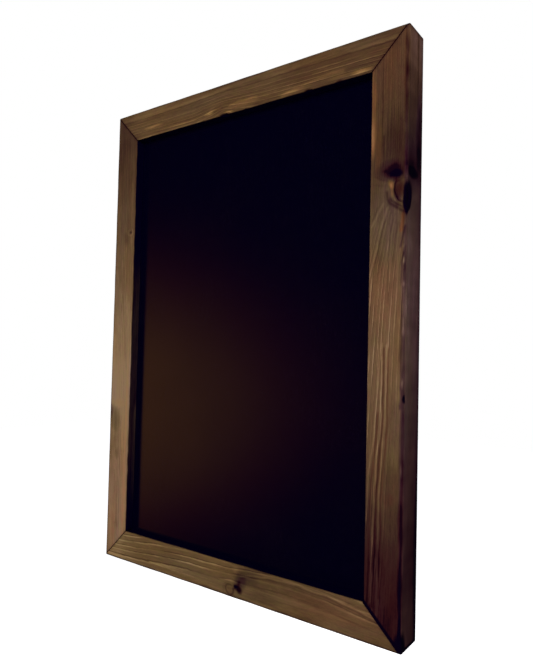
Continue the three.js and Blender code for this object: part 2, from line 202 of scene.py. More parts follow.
# Pan head screws
SCREW_RADIUS = 1.5
SCREW_LENGTH = 15.0
SCREW_TIP = 4.0
SCREW_POINT = 0.12
SCREW_SIDES = 40
HEAD_RADIUS = 3.2
HEAD_HEIGHT = 1.9
HEAD_RIM = 0.7
HEAD_EDGE = 0.15
DOME_END = 86  # degrees up the dome, just short of its middle
DOME_STEPS = 12
RECESS_HALF = 1.7
RECESS_WIDTH = 0.8
RECESS_DEPTH = 1.1
RECESS_TOP_SHARES = (1.25, 1.1)  # of the recess's length and width, above the head
RECESS_FLOOR_SHARES = (0.55, 0.8)

# Bumpers
BUMPER_RADIUS = 6.0
BUMPER_HEIGHT = 4.5
BUMPER_TAPER = 0.8
BUMPER_ROUNDING = 1.0
BUMPER_SIDES = 56
BUMPER_WALL_STEPS = 6
ROUNDING_STEPS = 8
BEVEL_ACROSS = 0.3
BEVEL_HEIGHT = 0.25
WALL_BEGINS = 0.6
DIMPLE_RADIUS = 2.6
DIMPLE_FLOOR_RADIUS = 2.3
DIMPLE_EDGE_DEPTH = 0.25
DIMPLE_DEPTH = 0.3
PIN_HOLE = 0.5  # radius of the flat middle on both ends

CREASE = math.radians(38)


# Helpers for shader trees

def add(tree, kind, settings=None, inputs=None):
    """Adds a node; each input is a value or another node's output."""
    made = tree.nodes.new(kind)
    for name, value in (settings or {}).items():
        setattr(made, name, value)
    for name, value in (inputs or {}).items():
        feed(tree, made.inputs[name], value)
    return made


def feed(tree, socket, value):
    """Links or sets a socket, and leaves it alone where the value is None."""
    if isinstance(value, bpy.types.NodeSocket):
        tree.links.new(value, socket)
    elif value is not None:
        socket.default_value = value


def calc(tree, operation, first, second=None, third=None, clamp=False):
    made = add(tree, "ShaderNodeMath", {"operation": operation, "use_clamp": clamp})
    for socket, value in zip(made.inputs, (first, second, third)):
        feed(tree, socket, value)
    return made.outputs[0]


def times(tree, first, second):
    return calc(tree, "MULTIPLY", first, second)


def centred(tree, value):
    """Turns a noise of 0 to 1 into one of -0.5 to 0.5."""
    return calc(tree, "SUBTRACT", value, 0.5)


def weighted(tree, start, *parts):
    """A value, and to it each part's value times its weight."""
    total = start
    for value, weight in parts:
        total = calc(tree, "ADD", total, times(tree, value, weight))
    return total


def vector_calc(tree, operation, first, second=None, output="Vector"):
    made = add(tree, "ShaderNodeVectorMath", {"operation": operation})
    feed(tree, made.inputs[0], first)
    feed(tree, made.inputs[1], second)
    return made.outputs[output]


def scaled(tree, vector, scale):
    return vector_calc(tree, "MULTIPLY", vector, scale)


def dot(tree, first, second):
    return vector_calc(tree, "DOT_PRODUCT", first, second, "Value")


def spread(tree, value, low, high, to_low=0.0, to_high=1.0):
    """Maps low..high smoothly to to_low..to_high and holds the ends."""
    made = add(tree, "ShaderNodeMapRange", {"interpolation_type": "SMOOTHSTEP"})
    for socket, number in zip(made.inputs, (value, low, high, to_low, to_high)):
        feed(tree, socket, number)
    return made.outputs[0]


def mix_colour(tree, factor, first, second, blend="MIX"):
    made = add(tree, "ShaderNodeMix", {"data_type": "RGBA", "blend_type": blend})
    feed(tree, made.inputs[0], factor)
    feed(tree, made.inputs[6], first)
    feed(tree, made.inputs[7], second)
    return made.outputs[2]


def mix_value(tree, factor, first, second):
    made = add(tree, "ShaderNodeMix", {"data_type": "FLOAT"})
    feed(tree, made.inputs[0], factor)
    feed(tree, made.inputs[2], first)
    feed(tree, made.inputs[3], second)
    return made.outputs[0]


def ramp(tree, value, stops):
    made = add(tree, "ShaderNodeValToRGB")
    band = made.color_ramp
    while len(band.elements) < len(stops):
        band.elements.new(0.5)
    for element, (place, colour) in zip(band.elements, stops):
        element.position = place
        element.color = colour
    feed(tree, made.inputs[0], value)
    return made.outputs[0]


def noise(tree, vector, scale=1.0, detail=3.0, roughness=0.5):
    """Noise from 0 to 1 about 0.5."""
    return add(tree, "ShaderNodeTexNoise", inputs={
        "Vector": vector, "Scale": scale, "Detail": detail, "Roughness": roughness,
    }).outputs[0]


def attribute(tree, name, output="Fac"):
    return add(tree, "ShaderNodeAttribute", {"attribute_name": name}).outputs[output]


def object_place(tree):
    return add(tree, "ShaderNodeTexCoord").outputs["Object"]


def srgb(red, green, blue):
    """A colour given as on a screen, 0 to 255, as the linear colour that shaders take."""
    def linear(value):
        value /= 255
        return value / 12.92 if value <= 0.04045 else ((value + 0.055) / 1.055) ** 2.4
    return (linear(red), linear(green), linear(blue), 1.0)


def group(name, takes, gives, fill):
    """A shader node group. takes is {input: default}, gives lists the outputs, and fill(tree,
    inputs) returns the sockets for the outputs."""
    tree = bpy.data.node_groups.new(name, "ShaderNodeTree")
    for label, default in takes.items():
        kind = "NodeSocketVector" if isinstance(default, tuple) else "NodeSocketFloat"
        socket = tree.interface.new_socket(label, in_out="INPUT", socket_type=kind)
        socket.default_value = default
    for label in gives:
        tree.interface.new_socket(label, in_out="OUTPUT", socket_type="NodeSocketFloat")
    entry = tree.nodes.new("NodeGroupInput")
    leave = tree.nodes.new("NodeGroupOutput")
    for socket, made in zip(leave.inputs, fill(tree, entry.outputs)):
        tree.links.new(made, socket)
    return tree


def use(tree, made_group, inputs):
    return add(tree, "ShaderNodeGroup", {"node_tree": made_group}, inputs).outputs


def material(name, fill):
    """A material whose shader fill(tree) sets up and returns."""
    made = bpy.data.materials.new(name)
    made.use_nodes = True
    tree = made.node_tree
    tree.nodes.clear()
    leave = tree.nodes.new("ShaderNodeOutputMaterial")
    tree.links.new(fill(tree), leave.inputs["Surface"])
    return made


def principled(tree, inputs):
    return add(tree, "ShaderNodeBsdfPrincipled", inputs=inputs).outputs[0]


def bump(tree, height, distance, strength):
    return add(tree, "ShaderNodeBump", inputs={
        "Height": height, "Distance": distance, "Strength": strength,
    }).outputs[0]


# Shared effects. Places are in millimetres for wood and in metres for the other materials.

# Layers of streaks in wood: scale along and across, detail, roughness and weight
FIBRE_LAYERS = [
    ((0.010, 0.45, 0.45), 3.0, 0.6, 0.30),
    ((0.09, 0.60, 0.60), 3.0, 0.6, 0.36),
    ((0.10, 2.4, 2.4), 2.0, 0.5, 0.18),
    ((0.34, 0.62, 0.62), 2.0, 0.6, 0.16),
]
PORE_SCALE = (0.30, 3.2, 3.2)
PORE_LIMITS = (0.60, 0.72)
FINE_MOTTLE = 6.0  # how much finer the finer cloud is
SCRATCH_WAYS = ((0.5, 14.0), (-0.9, 11.0))  # turn, and how many times longer than wide
SCRATCH_TWIST = (1.0, 1.7, 2.3)  # shares of the turn about X, Y and Z
SCRATCH_WIDTH = 0.006


def fill_fibres(tree, inputs):
    """Streaks and short flecks along the first axis of the place, and fine dark pores."""
    layers = []
    for scale, detail, roughness, weight in FIBRE_LAYERS:
        streak = noise(tree, scaled(tree, inputs["Place"], scale), 1.0, detail, roughness)
        layers.append(times(tree, streak, weight))
    streaks = layers[0]
    for layer in layers[1:]:
        streaks = calc(tree, "ADD", streaks, layer)
    speck = noise(tree, scaled(tree, inputs["Place"], PORE_SCALE), detail=1.0)
    return streaks, spread(tree, speck, *PORE_LIMITS)


def sized(tree, inputs):
    """The group's place, divided by the group's size."""
    near = add(tree, "ShaderNodeVectorMath", {"operation": "SCALE"})
    feed(tree, near.inputs["Vector"], inputs["Place"])
    feed(tree, near.inputs["Scale"], calc(tree, "DIVIDE", 1.0, inputs["Size"]))
    return near.outputs[0]


def fill_mottle(tree, inputs):
    """Soft patches and a finer cloud in them."""
    near = sized(tree, inputs)
    broad = noise(tree, near, detail=2.0)
    fine = noise(tree, near, scale=FINE_MOTTLE, detail=3.0, roughness=0.6)
    return broad, fine


def fill_scratches(tree, inputs):
    """Thin scratches in two crossing directions, 1 on a scratch and 0 off it."""
    near = sized(tree, inputs)
    marks = []
    for turn, stretch in SCRATCH_WAYS:
        turned_place = add(tree, "ShaderNodeVectorRotate", {"rotation_type": "EULER_XYZ"}, {
            "Vector": near, "Rotation": tuple(turn * share for share in SCRATCH_TWIST),
        }).outputs[0]
        drawn = scaled(tree, turned_place, (1.0, stretch, stretch))
        value = noise(tree, drawn, detail=2.0, roughness=0.55)
        thin = calc(tree, "ABSOLUTE", centred(tree, value))
        marks.append(spread(tree, thin, SCRATCH_WIDTH, 0.0))
    return (calc(tree, "MAXIMUM", *marks),)


PLACE_INPUT = {"Place": (0.0, 0.0, 0.0)}
SIZED_INPUTS = {**PLACE_INPUT, "Size": 1.0}
FIBRES = group("wood fibres", PLACE_INPUT, ["Streaks", "Pores"], fill_fibres)
MOTTLE = group("mottle", SIZED_INPUTS, ["Broad", "Fine"], fill_mottle)
SCRATCHES = group("scratches", SIZED_INPUTS, ["Scratches"], fill_scratches)


# Materials

# Walnut stain on pine, from where it hardly took to where it lies thick
STAIN = [
    (0.00, srgb(143, 117, 90)),
    (0.22, srgb(108, 84, 61)),
    (0.45, srgb(81, 60, 44)),
    (0.68, srgb(58, 37, 31)),
    (0.88, srgb(44, 17, 20)),
    (1.00, srgb(24, 5, 14)),
]
WARM = (1.15, 0.97, 0.68, 1.0)  # the stain's colour is multiplied by this where it is amber
COOL = (1.06, 0.92, 1.75, 1.0)  # and by this where it is violet
SOOT = srgb(7, 0, 20)
# near-black painted shade laid over the reveals in the recess
RECESS_SHADE_COLOUR = srgb(4, 0, 32)
WHITE = (1.0, 1.0, 1.0, 1.0)
BLACK = (0.0, 0.0, 0.0, 1.0)
TINT = [
    (0.10, (1.08, 0.88, 1.02, 1.0)),
    (0.50, (1.00, 1.00, 1.00, 1.0)),
    (0.90, (0.93, 1.10, 0.84, 1.0)),
]
RING_DARK = 0.18  # how much the thin dark line of a growth ring adds to the stain
RING_PALE = 0.19  # and how much the hard pale line beside it takes off
RING_RAGGED = 0.20  # how far, in rings, the lines waver within a few millimetres
KNOT_RING = 1.15  # millimetres between the rings inside a knot
KNOT_RING_DARK = 0.05
STREAKS_STAIN, CLOUDS_STAIN, PORES_STAIN = 0.50, 0.26, 0.06
STREAKS_WARMTH = -0.6  # dark streaks are less amber
SOOT_STREAKY, SOOT_LIMITS = 0.9, (0.10, 0.95)
RECESS_SHADE_STREAKY, RECESS_SHADE_LIMITS = 0.5, (0.12, 0.80)
SOOT_ROUGHNESS = 0.24
PORES_SUNK, LINES_SUNK = -0.5, -1.6
RAGGED_SCALE = (0.09, 0.9, 0.9)
FAINT_SCALE = (0.014, 0.28, 0.28)
HUE_SCALE = (0.09, 0.24, 0.24)


def growth_lines(tree, place, figure):
    """A thin dark line and a hard pale one beside it for each growth ring, here and there faint."""
    ragged = centred(tree, noise(tree, scaled(tree, place, RAGGED_SCALE), detail=2.0))
    ring = calc(tree, "FRACT", weighted(tree, attribute(tree, "growth"), (ragged, RING_RAGGED)))
    pale = times(tree, spread(tree, ring, 0.42, 0.72), spread(tree, ring, 0.88, 0.78))
    dark = times(tree, spread(tree, ring, 0.76, 0.90), spread(tree, ring, 1.0, 0.93))
    each = noise(tree, scaled(tree, place, FAINT_SCALE), detail=1.0)
    strength = times(tree, figure, spread(tree, each, 0.32, 0.66, 0.25, 1.5))
    lines = weighted(tree, times(tree, dark, RING_DARK), (pale, -RING_PALE))
    return times(tree, lines, strength)


def knot_rings(tree, lines):
    """Growth lines outside the knots, and narrow even rings inside them."""
    edge = attribute(tree, "knot_edge")
    swirl = calc(tree, "SINE", times(tree, edge, 2 * math.pi / KNOT_RING))
    return mix_value(tree, spread(tree, edge, 0.6, -1.2), lines,
                     times(tree, swirl, KNOT_RING_DARK))


def stain_colour(tree, place, tone, streaks):
    """The stain's colour for its tone, turned to amber, violet, green or red from place to place."""
    warmth = weighted(tree, attribute(tree, "amber"), (streaks, STREAKS_WARMTH))
    amber = calc(tree, "MAXIMUM", warmth, 0.0, clamp=True)
    violet = calc(tree, "MAXIMUM", times(tree, warmth, -1.0), 0.0, clamp=True)
    hue = noise(tree, scaled(tree, place, HUE_SCALE), detail=3.0, roughness=0.65)
    tint = ramp(tree, calc(tree, "ADD", hue, attribute(tree, "olive")), TINT)
    colour = ramp(tree, tone, STAIN)
    for change in (mix_colour(tree, amber, WHITE, WARM), mix_colour(tree, violet, WHITE, COOL),
                   tint):
        colour = mix_colour(tree, 1.0, colour, change, "MULTIPLY")
    return colour


def stained_pine(tree):
    place = attribute(tree, "place", "Vector")
    fibres = use(tree, FIBRES, {"Place": place})
    mottle = use(tree, MOTTLE, {"Place": scaled(tree, place, (0.25, 1.0, 1.0)), "Size": 11.0})
    streaks = centred(tree, fibres["Streaks"])
    clouds = centred(tree, mottle["Broad"])
    lines = knot_rings(tree, growth_lines(tree, place, attribute(tree, "figure")))
    tone = calc(tree, "ADD", attribute(tree, "tone"), lines)
    tone = weighted(tree, tone, (streaks, STREAKS_STAIN), (clouds, CLOUDS_STAIN),
                    (fibres["Pores"], PORES_STAIN))
    soot = weighted(tree, attribute(tree, "soot"), (streaks, SOOT_STREAKY))
    soot = spread(tree, soot, *SOOT_LIMITS)
    # near-black painted shade over the reveals in the recess, streaky at its edge
    recess_shade = weighted(tree, attribute(tree, "recess_shade"), (streaks, RECESS_SHADE_STREAKY))
    recess_shade = spread(tree, recess_shade, *RECESS_SHADE_LIMITS)
    colour = stain_colour(tree, place, tone, streaks)
    colour = mix_colour(tree, soot, colour, SOOT)
    colour = mix_colour(tree, recess_shade, colour, RECESS_SHADE_COLOUR)
    rough = spread(tree, fibres["Streaks"], 0.3, 0.7, 0.64, 0.48)
    height = weighted(tree, fibres["Streaks"], (fibres["Pores"], PORES_SUNK), (lines, LINES_SUNK))
    return principled(tree, {
        "Base Color": colour,
        "Roughness": weighted(tree, rough, (soot, SOOT_ROUGHNESS)),
        "Specular IOR Level": 0.03,
        "Normal": bump(tree, height, 0.00014, 0.8),
    })


def chalk_black(tree):
    place = object_place(tree)
    mottle = use(tree, MOTTLE, {"Place": place, "Size": 0.09})
    marks = use(tree, SCRATCHES, {"Place": place, "Size": 0.05})["Scratches"]
    dust = spread(tree, mottle["Fine"], 0.45, 0.75)
    colour = mix_colour(tree, times(tree, dust, 0.25), srgb(1, 0, 18), srgb(6, 3, 21))
    colour = mix_colour(tree, times(tree, marks, 0.06), colour, srgb(40, 36, 38))
    rough = spread(tree, mottle["Broad"], 0.3, 0.7, 0.17, 0.22)
    grain = noise(tree, place, scale=900.0, detail=2.0)
    return principled(tree, {
        "Base Color": colour,
        "Roughness": weighted(tree, rough, (marks, 0.08)),
        "Specular IOR Level": 0.42,
        "Normal": bump(tree, grain, 0.00002, 0.25),
    })


def fibreboard(tree):
    place = object_place(tree)
    mottle = use(tree, MOTTLE, {"Place": place, "Size": 0.03})
    flecks = noise(tree, scaled(tree, place, (420.0, 900.0, 420.0)), detail=4.0, roughness=0.7)
    hair = noise(tree, scaled(tree, place, (1500.0, 1500.0, 260.0)), detail=2.0)
    tone = weighted(tree, times(tree, flecks, 0.55), (mottle["Broad"], 0.25), (hair, 0.20))
    colour = ramp(tree, tone, [
        (0.34, srgb(104, 76, 50)),
        (0.50, srgb(158, 124, 86)),
        (0.66, srgb(188, 156, 114)),
    ])
    return principled(tree, {
        "Base Color": colour,
        "Roughness": spread(tree, flecks, 0.3, 0.7, 0.92, 0.78),
        "Specular IOR Level": 0.25,
        "Normal": bump(tree, flecks, 0.00012, 0.6),
    })


def zinc_steel(tree):
    place = object_place(tree)
    mottle = use(tree, MOTTLE, {"Place": place, "Size": 0.006})
    marks = use(tree, SCRATCHES, {"Place": place, "Size": 0.004})["Scratches"]
    colour = ramp(tree, mottle["Fine"], [
        (0.30, srgb(118, 121, 128)),
        (0.55, srgb(158, 160, 165)),
        (0.75, srgb(170, 168, 154)),
    ])
    colour = mix_colour(tree, times(tree, marks, 0.35), colour, srgb(120, 121, 124))
    rough = spread(tree, mottle["Broad"], 0.25, 0.75, 0.28, 0.44)
    height = calc(tree, "SUBTRACT", mottle["Fine"], marks)
    return principled(tree, {
        "Base Color": colour,
        "Metallic": 1.0,
        "Roughness": weighted(tree, rough, (marks, 0.15)),
        "Normal": bump(tree, height, 0.00002, 0.4),
    })


def dark_steel(tree):
    mottle = use(tree, MOTTLE, {"Place": object_place(tree), "Size": 0.004})
    colour = ramp(tree, mottle["Fine"], [
        (0.35, srgb(58, 55, 54)),
        (0.60, srgb(96, 92, 88)),
        (0.80, srgb(112, 84, 62)),
    ])
    return principled(tree, {
        "Base Color": colour,
        "Metallic": 1.0,
        "Roughness": spread(tree, mottle["Broad"], 0.3, 0.7, 0.36, 0.58),
        "Normal": bump(tree, mottle["Fine"], 0.00002, 0.5),
    })


def rubber(tree):
    mottle = use(tree, MOTTLE, {"Place": object_place(tree), "Size": 0.004})
    dust = spread(tree, mottle["Fine"], 0.5, 0.75)
    colour = mix_colour(tree, times(tree, dust, 0.5), srgb(24, 23, 23), srgb(58, 55, 52))
    return principled(tree, {
        "Base Color": colour,
        "Roughness": spread(tree, mottle["Broad"], 0.3, 0.7, 0.62, 0.82),
        "Specular IOR Level": 0.35,
        "Normal": bump(tree, mottle["Fine"], 0.00003, 0.5),
    })


FINISHES = {
    fill.__name__: material(fill.__name__, fill)
    for fill in (stained_pine, chalk_black, fibreboard, zinc_steel, dark_steel, rubber)
}


# Timber. A member's place is (s, u, v): s along it from its top or left end, u inwards from
# its outer edge and v back from its front face, in millimetres.

LOWEST, HIGHEST = cad_box
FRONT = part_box("left_stile")[0].y / MM
TOP, BOTTOM = HIGHEST.z / MM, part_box("bottom_rail")[0].z / MM
LEFT, RIGHT = LOWEST.x / MM, HIGHEST.x / MM

MEMBER_FRAMES = {  # corner that s, u and v start from, way of s, way of u
    "left_stile": ((LEFT, FRONT, TOP), (0, 0, -1), (1, 0, 0)),
    "right_stile": ((RIGHT, FRONT, TOP), (0, 0, -1), (-1, 0, 0)),
    "top_rail": ((LEFT, FRONT, TOP), (1, 0, 0), (0, 0, -1)),
    "bottom_rail": ((LEFT, FRONT, BOTTOM), (1, 0, 0), (0, 0, 1)),
}
BACKWARD = np.array((0.0, 1.0, 0.0))

# How the tree grew in each member: where its pith lay in the section, ring spacing, seed of
# the rings' waver, where in the pattern of fibres it was sawn from, and at (s, outer edge,
# inner edge) how far the rings drift and how strongly they show
GROWTH = {
    "left_stile": {
        "pith": (-22.0, 14.0),
        "ring": 2.7,
        "seed": 70,
        "sawn_from": (10000.0, 1000.0, 0.0),
        "drift": [(0, 0, 0), (150, 1, 2), (300, 2, 4), (594, 5, 7)],
        "figure": [(0, 0.5, 0.5), (200, 0.55, 0.6), (380, 0.65, 0.9), (594, 0.65, 0.85)],
    },
    "right_stile": {
        "pith": (80.0, 10.0),
        "ring": 2.4,
        "seed": 77,
        "sawn_from": (11000.0, 1100.0, 0.0),
        "drift": [(0, 0, 0), (140, 0, 0), (168, 0, 0), (185, 1, 5), (210, 2, 12), (235, 3, 17),
                  (265, 3.5, 19), (300, 4, 21), (400, 6.5, 24), (500, 9, 27), (594, 11, 29)],
        "figure": [(0, 0.35, 0.4), (130, 0.4, 0.4), (200, 0.3, 0.3), (235, 0.55, 0.6),
                   (296, 0.75, 1.1), (320, 0.5, 0.8), (400, 0.15, 0.6), (480, 0.1, 0.6),
                   (540, 0.1, 0.5)],
    },
    "top_rail": {
        "pith": (5.0, 30.0),
        "ring": 2.5,
        "seed": 56,
        "sawn_from": (8000.0, 800.0, 0.0),
        "drift": [(0, 0, 0), (140, 0, 2), (187, 0, -4), (240, 0, 1), (420, 1, 3)],
        "figure": [(0, 0.5, 0.55), (150, 0.55, 0.6), (300, 0.5, 0.85), (420, 0.5, 0.8)],
    },
    "bottom_rail": {
        "pith": (0.5, 33.0),
        "ring": 3.1,
        "seed": 77,
        "sawn_from": (11000.0, 1100.0, 0.0),
        "drift": [(0, 0, -2), (25, 0, 0), (60, 1.5, 3), (100, 4, 8), (150, 6, 12), (200, 6, 12),
                  (215, 5, 11), (240, 7, 15), (290, 9, 18), (340, 8, 16), (380, 5, 11),
                  (420, 3, 6)],
        "figure": [(0, 1.0, 1.0), (150, 0.9, 1.0), (200, 0.4, 0.8), (260, 0.25, 0.7),
                   (420, 0.25, 0.6)],
    },
}

# Stain along the middle of the front face and of the outer side. The front curves also hold painted light and
# shade: the left stile's run from a dark top to its light lower middle is a painted pool of light, and the
# darkening toward the right stile's foot is painted shade.
STAIN_AND_PAINTED_LIGHT = {
    "left_stile": {
        "front": [(0, 0.54), (40, 0.57), (80, 0.50), (120, 0.43), (160, 0.37), (200, 0.28),
                  (280, 0.13), (350, -0.02), (385, -0.03), (410, 0.03), (440, 0.11), (560, 0.11)],
        "side": [(0, 0.50), (200, 0.40), (400, 0.35), (594, 0.45)],
    },
    "right_stile": {
        "front": [(20, 0.50), (60, 0.48), (100, 0.54), (140, 0.55), (170, 0.45), (220, 0.36),
                  (260, 0.28), (340, 0.25), (380, 0.34), (420, 0.40), (460, 0.56), (500, 0.73),
                  (540, 0.86), (594, 0.90)],
        "side": [(20, 0.24), (60, 0.41), (100, 0.55), (140, 0.66), (180, 0.42), (220, 0.28),
                 (280, 0.30), (330, 0.31), (370, 0.48), (440, 0.62), (500, 0.80), (530, 0.86),
                 (570, 0.68), (594, 0.66)],
    },
    "top_rail": {
        "front": [(20, 0.48), (60, 0.36), (140, 0.40), (260, 0.41), (300, 0.46), (400, 0.46)],
        "side": [(0, 0.45), (420, 0.45)],
    },
    "bottom_rail": {
        "front": [(20, 0.15), (60, 0.27), (100, 0.33), (180, 0.31), (220, 0.36), (260, 0.46),
                  (300, 0.38), (380, 0.36), (420, 0.42)],
        "side": [(0, 0.5), (420, 0.55)],
    },
}

# Knots: centre (s, u, v), way of the branch, radius, stretch along the member
KNOTS = {
    "left_stile": [
        ((162, 31, 0), (0.1, 0.1, 1), 2.2, 1.2),
    ],
    "right_stile": [((163.5, 1, 0), (0.0, 0.75, 0.66), 10.0, 1.5)],
    "top_rail": [((189, 40, 0), (0.0, 0.0, 1), 4.0, 1.5)],
    "bottom_rail": [((217, 8.2, 0), (0.2, 0.1, 1), 5.4, 1.1)],
}


SPOT_FADE = 1.2
VEIN_ENDS = (-1.0, 3.0)  # how far past its ends a vein is gone, and how far inside it is full
VEIN_DEPTH = (5.0, 2.0)  # how deep round the arris a vein reaches
BOW_CORE = 0.6  # share of a bow's length in which it is full
BOW_DEPTH_CORE = 0.4


def blend(first, second, share):
    return first * (1 - share) + second * share


def smooth(values, low, high):
    share = np.clip((values - low) / (high - low), 0, 1)
    return share * share * (3 - 2 * share)


def spot(centre, reach, lean=(0.0, 0.0), **adds):
    """A soft mark round (s, u, v). It leans by so much along s for each step in u and in v."""
    def mask(place):
        offset = place - np.array(centre, float)
        offset[:, 0] -= lean[0] * offset[:, 1] + lean[1] * offset[:, 2]
        far = ((offset / np.array(reach, float)) ** 2).sum(1)
        return np.clip(1 - far, 0, 1) ** SPOT_FADE
    return mask, adds


def vein(corners, thick, **adds):
    """A thin line on the front through corners (s, u), fading at both ends."""
    def mask(place):
        near = np.full(len(place), np.inf)
        for (s0, u0), (s1, u1) in zip(corners, corners[1:]):
            run = np.array((s1 - s0, u1 - u0), float)
            offset = place[:, :2] - (s0, u0)
            share = np.clip(offset @ run / (run @ run), 0, 1)
            near = np.minimum(near, np.hypot(*(offset - share[:, None] * run).T))
        ends = np.minimum(place[:, 0] - corners[0][0], corners[-1][0] - place[:, 0])
        line = np.exp(-(near / thick) ** 2)
        return line * smooth(ends, *VEIN_ENDS) * smooth(place[:, 2], *VEIN_DEPTH)
    return mask, adds


def bow(centre, radii, angles, thick, deep, **adds):
    """Part of an oval line on the front, from one angle to another, counted from s towards u."""
    def mask(place):
        across = (place[:, :2] - np.array(centre, float)) / np.array(radii, float)
        off = (np.hypot(*across.T) - 1) * sum(radii) / 2
        middle, half = (angles[0] + angles[1]) / 2, (angles[1] - angles[0]) / 2
        angle = np.degrees(np.arctan2(across[:, 1], across[:, 0]))
        turn = np.abs((angle - middle + 180) % 360 - 180)
        line = np.exp(-(off / thick) ** 2) * smooth(turn, half, half * BOW_CORE)
        return line * smooth(place[:, 2], deep, deep * BOW_DEPTH_CORE)
    return mask, adds
